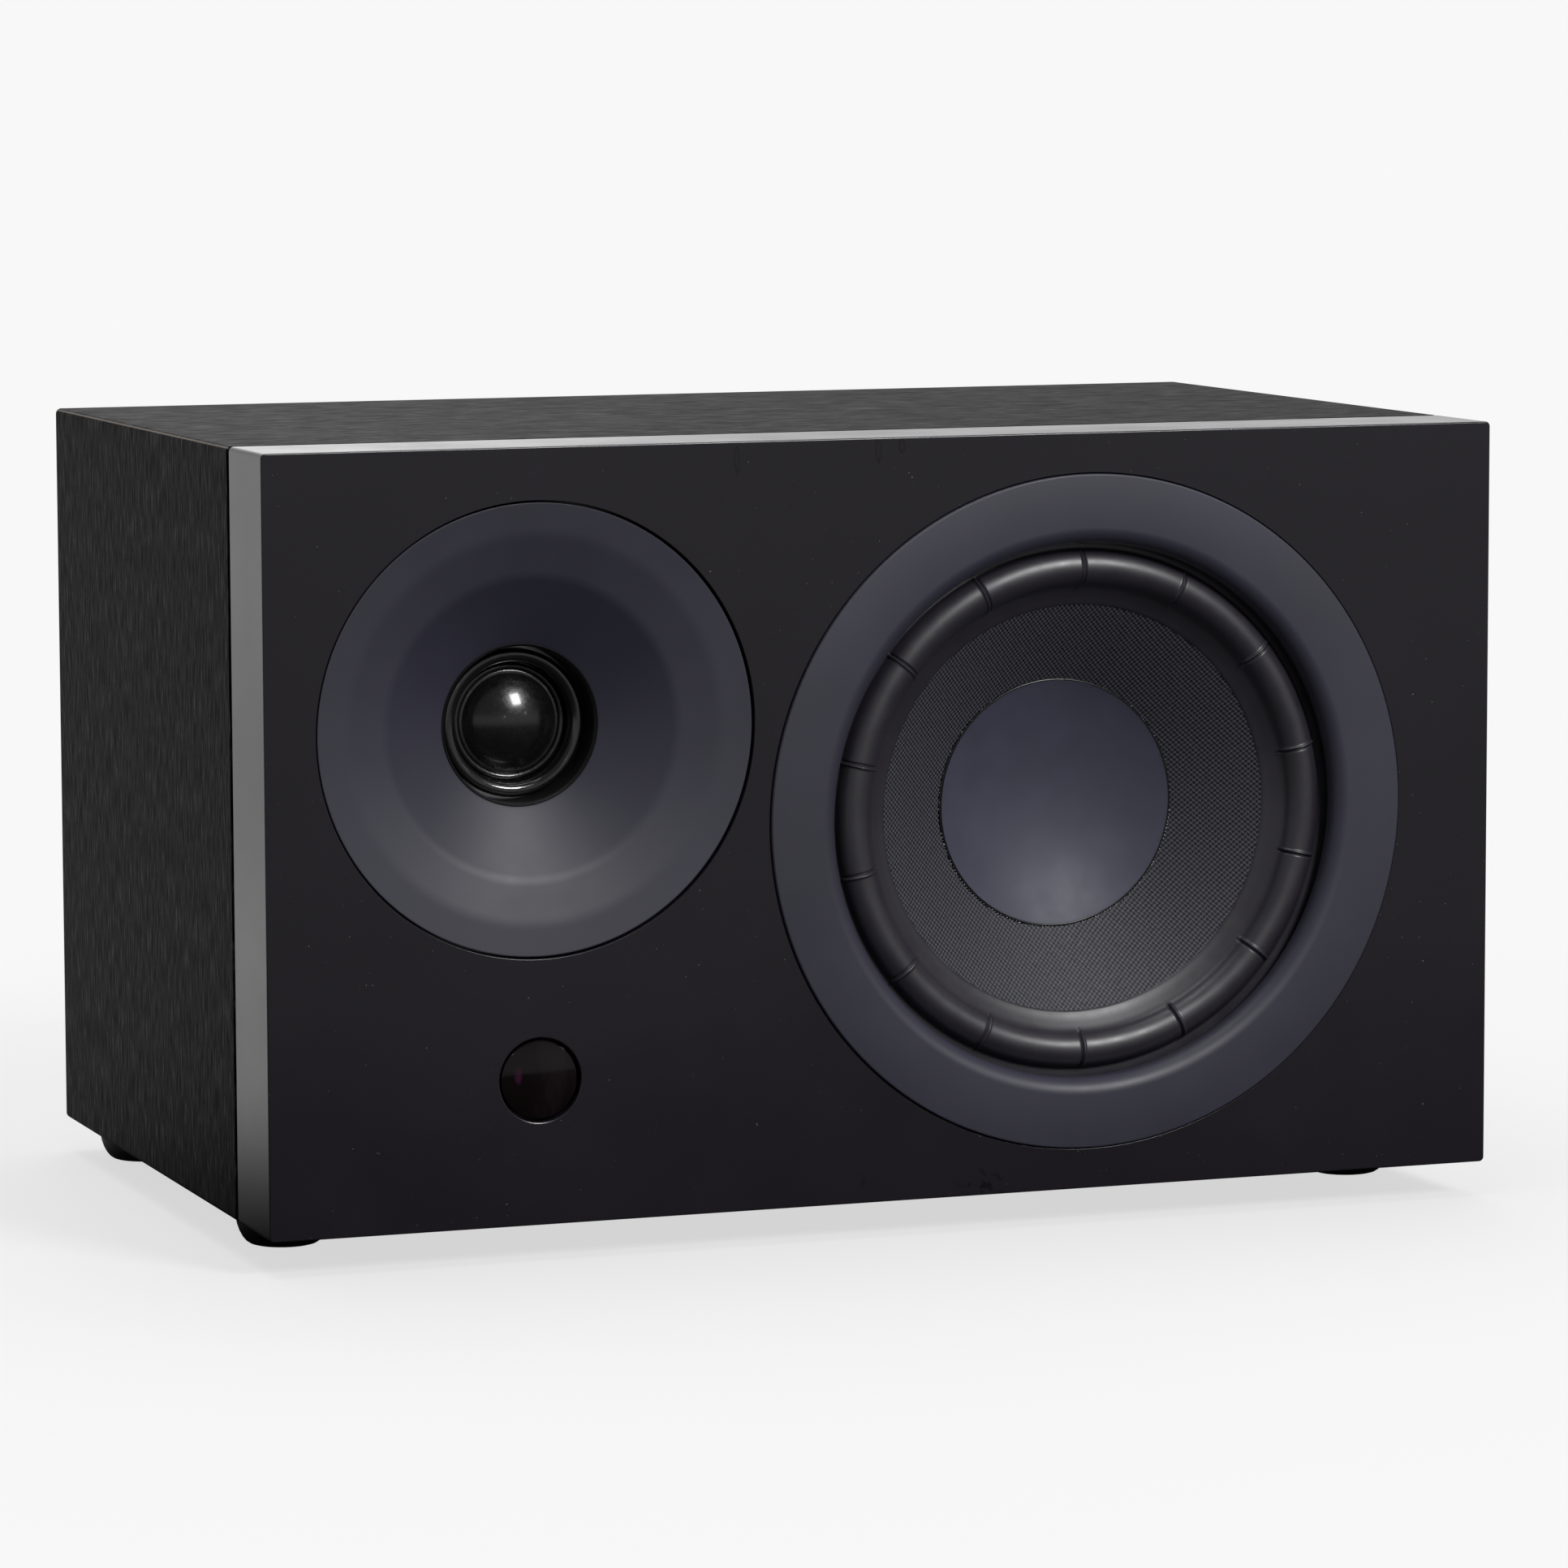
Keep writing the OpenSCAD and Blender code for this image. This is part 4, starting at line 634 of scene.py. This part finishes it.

# Dome tweeter: a coated cloth dome that looks wet and black, a polished black ring with a rounded
# crest, and the narrow soft rim that the ring clamps. The rim is cut into twelve wedges.
gloss = Finish("polished_black", specular=0.6, coat=1.0, coat_rough=0.05)
gloss.colour(gloss.ramp(gloss.noise(5.0), [(0.3, paint("070708")), (0.7, paint("0c0c0e"))]))
gloss.rough(gloss.span(gloss.noise(3.0), 0.12, 0.2))
gloss.relief(gloss.noise(0.32, detail=2.0), 0.03)
ring_out, ring_in, ring_back = 19.3, 15.5, 25.9
crest = arc(17.9, 21.6, 1.4, 0, 95, 8) + arc(17.5, 21.9, 1.7, 95, 170, 8)
ring_line = [(ring_out, ring_back), (ring_out, 22.2)] + crest + [(15.7, 23.3), (ring_in, 23.8), (ring_in, ring_back)]
clamp = turned("dome_ring", ring_line, tweeter, steps=192, angle=45)
clamp.data.materials.append(gloss.m)
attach(clamp, "cabinet")
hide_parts("tweeter_ring")

wet = Finish("coated_dome_cloth", specular=0.6, coat=0.5, coat_rough=0.07)
wet.colour(wet.ramp(wet.noise(2.5), [(0.3, paint("0a0a0c")), (0.7, paint("121214"))]))
wet.rough(wet.span(wet.noise(1.2, detail=4.0), 0.2, 0.32))
wet.relief(wet.noise(0.3, detail=1.0), 0.022)
dome_r, dome_h, dome_d = 12.7, 5.5, 24.5
dome_arc = (dome_r ** 2 + dome_h ** 2) / (2 * dome_h)
dome_deep = dome_d - dome_h + dome_arc
dome_t, lip_edge = 0.4, 13.4
points = [(0.0, dome_d - dome_h)]
points += [(r, dome_deep - math.sqrt(dome_arc ** 2 - r * r)) for r in np.linspace(0.6, dome_r, 26)]
points += [(lip_edge - 0.2, dome_d), (lip_edge, dome_d + 0.1), (lip_edge, dome_d + dome_t), (dome_r, dome_d + dome_t)]
points += [(r, dome_deep - math.sqrt((dome_arc - dome_t) ** 2 - r * r)) for r in np.linspace(12.3, 0.6, 16)]
points += [(0.0, dome_d - dome_h + dome_t)]
dome = turned("dome", points, tweeter, steps=128, ring=False)
dome.data.materials.append(wet.m)
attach(dome, "treble_dome")
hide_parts("tweeter_dome")



def no_lift(r, d, s):
    """The rim has no ribs."""
    return 0.0


rim_t, rim_inner, rim_held, rim_wedges = 0.25, 13.45, 15.2, 12
rim_line = [(15.4, dome_d + 0.5)] + arc(14.35, dome_d + 0.45, 0.8, 10, 170, 12)
rim_line += [(rim_inner, dome_d + 0.52), (12.9, dome_d + 0.52)]
rim_step = 2 * math.pi / rim_wedges
rim_turns = [rim_step * (i / 8 - 0.5) for i in range(9)]
heart = Vector((tweeter[0], front + dome_d, tweeter[1]))
for k in range(rim_wedges):
    mid = k * rim_step
    piece = sheet_wedge("dome_rim_%02d" % (k + 1), rim_line, rim_t, tweeter, mid, no_lift, rim_turns)
    piece.data.materials.append(wet.m)
    way = Vector((math.cos(mid), 0, math.sin(mid)))
    held, free = heart + way * rim_held * math.cos(rim_step / 2), heart + way * rim_inner
    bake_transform(piece)
    if k == 0:
        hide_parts("tweeter_surround")

# Remote window: a plug of dark plastic that passes infrared light, polished, and seated from
# behind in its hole. The receiver's board is screwed to the back of the front board.
pane = Finish("infrared_pane", specular=0.25, coat=0.15, coat_rough=0.03)
# Painted reflection: faint lighter swirls in the dark red-brown pane stand for curved reflections on its face.
drift = pane.noise(7.0, detail=4.0, along=(1.0, 1.0, 0.4))
swirl = pane.ramp(drift, [(0.3, paint("090405")), (0.55, paint("0c0607")), (0.7, paint("171013"))])
# A small magenta spot is painted into the pane, left of its middle and a little above.
magenta_spot = pane.span(pane.oval(window[0] - 5.6, window[1] + 1.2, 1.3, 2.4), 0.8, 0.0, 0.3, 1.0)
pane.colour(pane.mix(magenta_spot, swirl, paint("3a1430")))
pane.rough(pane.span(pane.noise(4.0), 0.06, 0.12))
pane_r, flange_r, pane_back = 10.3, 15.5, 11.0
pane_line = [(0.0, 1.0), (9.7, 1.0), (10.1, 1.12), (pane_r, 1.4), (pane_r, window_seat_d), (flange_r, window_seat_d)]
pane_line += [(flange_r, pane_back), (0.0, pane_back)]
lens = turned("window_pane", pane_line, window, steps=128, ring=False)
lens.data.materials.append(pane.m)
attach(lens, "cabinet")
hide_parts("window_lens")

# Feet: four pucks of solid black rubber with a rounded lower rim. Each is held against the
# cabinet's floor by a screw that is sunk into its underside.
pucks = plain_finish("black_foot_rubber", "0a0a0b", "101011", 6.0, 0.55, relief=0.01, relief_size=0.4)
puck_h, sink_r, sink_d, hole_r = 9.5, 4.6, 4.0, 2.1
puck_line = [(12.5, puck_h), (12.45, 7.4), (12.1, 5.2), (11.5, 3.4), (10.7, 1.9), (9.8, 0.8), (8.9, 0.2), (8.2, 0.0)]
puck_line += [(sink_r, 0.0), (sink_r, sink_d), (hole_r, sink_d), (hole_r, puck_h)]
turns = [math.radians(7.5 * i) for i in range(48)]
for name in ("foot_front_left", "foot_front_right", "foot_rear_left", "foot_rear_right"):
    low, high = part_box(name)
    cx, cy = (low.x + high.x) / 2 / mm, (low.y + high.y) / 2 / mm
    rounds = [[(cx + r * math.cos(a), cy + r * math.sin(a), z) for a in turns] for r, z in puck_line]
    puck = shell_of(name + "_puck", rounds, capped=False, angle=50)
    puck.data.materials.append(pucks.m)
    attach(puck, "cabinet")
    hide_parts(name)

# Bass port and amplifier plate: a moulded tube with a flared mouth; a black anodised aluminium
# plate with its sockets, rocker, service button and black screws, and the boards behind it.
moulded = plain_finish("moulded_black", "101011", "161617", 7.0, 0.5, relief=0.02, relief_size=0.35)
dress(moulded, "cup_plastic", "port_tube", "tweeter_rear_cup")
dress(moulded, "socket_plastic", "mains_inlet", "rocker_frame", "power_rocker", "line_socket", "setup_button",
      "button_switch")
anodised = plain_finish("anodised_black", "151517", "1c1c1e", 9.0, 0.5, metallic=0.6, relief=0.02, relief_size=0.3)
dress(anodised, "plate_coat", "amplifier_plate")
oxide = plain_finish("black_oxide", "0c0c0c", "161616", 1.0, 0.4, metallic=0.7)
dress(oxide, "black_screw", "plate_screws")
nickel = plain_finish("nickel_plate", "b4b0a6", "ccc8be", 1.5, 0.22, metallic=1.0)
dress(nickel, "plated_contact", "inlet_pins", "cinch_sockets")
tin = plain_finish("tinned_shield", "9c9c9c", "b4b4b4", 3.0, 0.3, metallic=1.0)
dress(tin, "shield_tin", "network_socket", "wireless_module")
laminate = plain_finish("green_laminate", "12401f", "185228", 5.0, 0.4)
dress(laminate, "circuit_board", "amplifier_board", "power_board", "input_board", "receiver_board")
aluminium = plain_finish("milled_aluminium", "b4b4b6", "c8c8ca", 3.0, 0.35, metallic=1.0)
dress(aluminium, "bare_aluminium", "heat_block")
varnish = plain_finish("varnished_core", "3a2c1c", "4c3a26", 3.0, 0.5)
dress(varnish, "core_iron", "transformer")
sleeve_film = plain_finish("shrink_sleeve", "10101c", "181828", 4.0, 0.3)
dress(sleeve_film, "can_sleeve", "capacitors")
vinyl = plain_finish("vinyl_sheath", "8c1414", "a01c1c", 3.0, 0.4)
dress(vinyl, "lead_sheath", "speaker_leads")

# Floor and light: a round pale floor that fades into the white ground behind it, a soft box at
# the front right, a wide one overhead, two small far windows, and white behind, dark in front.
bm = bmesh.new()
floor_r, floor_back = 0.95, 0.4
bmesh.ops.create_circle(bm, cap_ends=True, segments=96, radius=floor_r, matrix=Matrix.Translation((0, floor_back, 0)))
ground = bpy.data.meshes.new("floor")
bm.to_mesh(ground)
bm.free()
floor = bpy.data.objects.new("floor", ground)
bpy.context.scene.collection.objects.link(floor)
pale = Finish("pale_floor", specular=0.1)
seen = pale.n.new("ShaderNodeLightPath")
bare = pale.ramp(pale.noise(300.0), [(0.3, (0.69, 0.69, 0.69, 1)), (0.7, (0.71, 0.71, 0.71, 1))])
side = pale.n.new("ShaderNodeSeparateXYZ")
pale.link(pale.where, side.inputs[0])
behind = pale.span(side.outputs["Y"], 0.0, 1.0, -0.05, 0.18)
depth_tone = pale.ramp(behind, [(0.0, (0.025, 0.025, 0.025, 1)), (1.0, (0.7, 0.7, 0.7, 1))])
pale.colour(pale.mix(seen.outputs["Is Camera Ray"], depth_tone, bare))
pale.rough(pale.span(pale.noise(80.0), 0.8, 0.9))
far = pale.n.new("ShaderNodeVectorMath")
far.operation = "LENGTH"
pale.link(pale.where, far.inputs[0])
share = pale.n.new("ShaderNodeMath")
share.operation = "MULTIPLY"
pale.link(pale.span(far.outputs["Value"], 0.7, 1.0, 0.25, 0.52), share.inputs[0])
pale.link(seen.outputs["Is Camera Ray"], share.inputs[1])
glow, join = pale.n.new("ShaderNodeEmission"), pale.n.new("ShaderNodeMixShader")
ground_tone = paint("f8f8f8")
glow.inputs["Color"].default_value = ground_tone
pale.link(share.outputs[0], join.inputs[0])
pale.link(pale.shader.outputs[0], join.inputs[1])
pale.link(glow.outputs[0], join.inputs[2])
pale.link(join.outputs[0], pale.n["Material Output"].inputs[0])
ground.materials.append(pale.m)

world = bpy.data.worlds.new("studio")
bpy.context.scene.world = world
world.use_nodes = True
nodes, links = world.node_tree.nodes, world.node_tree.links


def world_span(value, start, stop, low, high, ease="LINEAR"):
    """A value brought from one range to another for the room's brightness."""
    node = nodes.new("ShaderNodeMapRange")
    node.interpolation_type = ease
    for i, v in enumerate((start, stop, low, high)):
        node.inputs[i + 1].default_value = v
    links.new(value, node.inputs[0])
    return node.outputs[0]


def world_tone(value, stops):
    """Brightness along a value, from stops of place and level."""
    node = nodes.new("ShaderNodeValToRGB")
    marks = node.color_ramp.elements
    while len(marks) < len(stops):
        marks.new(0.5)
    for mark, (at, level) in zip(marks, stops):
        mark.position, mark.color = at, (level, level, level, 1)
    links.new(value, node.inputs[0])
    return node.outputs[0]


def world_join(kind, a, b):
    """The sum or the product of two levels."""
    node = nodes.new("ShaderNodeMath")
    node.operation = kind
    links.new(a, node.inputs[0])
    links.new(b, node.inputs[1])
    return node.outputs[0]


room, ground_white, pick = nodes["Background"], nodes.new("ShaderNodeBackground"), nodes.new("ShaderNodeMixShader")
way, parts = nodes.new("ShaderNodeTexCoord"), nodes.new("ShaderNodeSeparateXYZ")
links.new(way.outputs["Generated"], parts.inputs[0])
back = world_span(parts.outputs["Y"], -0.1, 0.6, 0.0, 0.6, "SMOOTHSTEP")
sideways = world_span(parts.outputs["X"], -0.5, 0.5, 0.0, 1.0)
across = world_tone(sideways, ((0.15, 0.55), (0.5, 0.85), (0.7, 1.95), (0.77, 1.9), (0.84, 1.0)))
sky = world_span(parts.outputs["Z"], 0.15, 0.55, 1.0, 1.3)
rise = world_span(parts.outputs["Z"], -0.25, 0.25, 0.0, 1.0)
ahead_tone = world_tone(rise, ((0.1, 0.04), (0.34, 0.36), (0.62, 0.36), (0.95, 0.13)))
behind_tone = world_join("MULTIPLY", world_join("MULTIPLY", back, across), sky)
links.new(world_join("ADD", behind_tone, ahead_tone), room.inputs["Strength"])
room.inputs["Color"].default_value = (1, 1, 1, 1)
ground_white.inputs["Color"].default_value = ground_tone
seen = nodes.new("ShaderNodeLightPath")
links.new(seen.outputs["Is Camera Ray"], pick.inputs[0])
links.new(room.outputs[0], pick.inputs[1])
links.new(ground_white.outputs[0], pick.inputs[2])
links.new(pick.outputs[0], nodes["World Output"].inputs[0])


def soft_light(name, place, size, power, tone=(1, 1, 1)):
    """A soft rectangular light that faces the middle of the speaker."""
    lamp = bpy.data.lights.new(name, "AREA")
    lamp.shape, lamp.size, lamp.size_y, lamp.energy, lamp.color = "RECTANGLE", size[0], size[1], power, tone
    holder = bpy.data.objects.new(name, lamp)
    holder.location = place
    holder.rotation_euler = (speaker_middle - Vector(place)).to_track_quat("-Z", "Y").to_euler()
    bpy.context.scene.collection.objects.link(holder)


speaker_middle = Vector((0, 0, 0.1))
soft_light("soft_box", (0.86, -2.1, 1.62), (0.72, 0.85), 48)
soft_light("overhead", (-0.1, 0.1, 1.6), (1.5, 0.9), 17)
soft_light("far_window_warm", (-0.12, -2.1, 0.36), (0.07, 0.07), 0.12, (1, 0.9, 0.75))
soft_light("far_window_cool", (1.12, -1.65, 0.47), (0.1, 0.12), 0.2, (0.8, 0.88, 1))

# Camera: at the photograph's place, to the left of the speaker and a little above it, with a long
# lens. Its place and turn were fitted to the edges and circles in the photograph.
lens_data = bpy.data.cameras.new("camera")
lens_data.lens, lens_data.sensor_width = 155.365, 36.0
lens_data.clip_start, lens_data.clip_end = 0.05, 40.0
camera = bpy.data.objects.new("camera", lens_data)
right = Vector((0.93886, -0.344286, -0.003142))
down = Vector((-0.04221, -0.106039, -0.993466))
ahead = Vector((0.341703, 0.932857, -0.114088))
spot = Vector((-628.11, (front + rear) / 2 - 1734.92, middle_z + 210.48)) * mm
camera.matrix_world = Matrix.Translation(spot) @ Matrix((right, -down, -ahead)).transposed().to_4x4()
bpy.context.scene.collection.objects.link(camera)
bpy.context.scene.camera = camera
bpy.context.scene.view_settings.view_transform = "Standard"
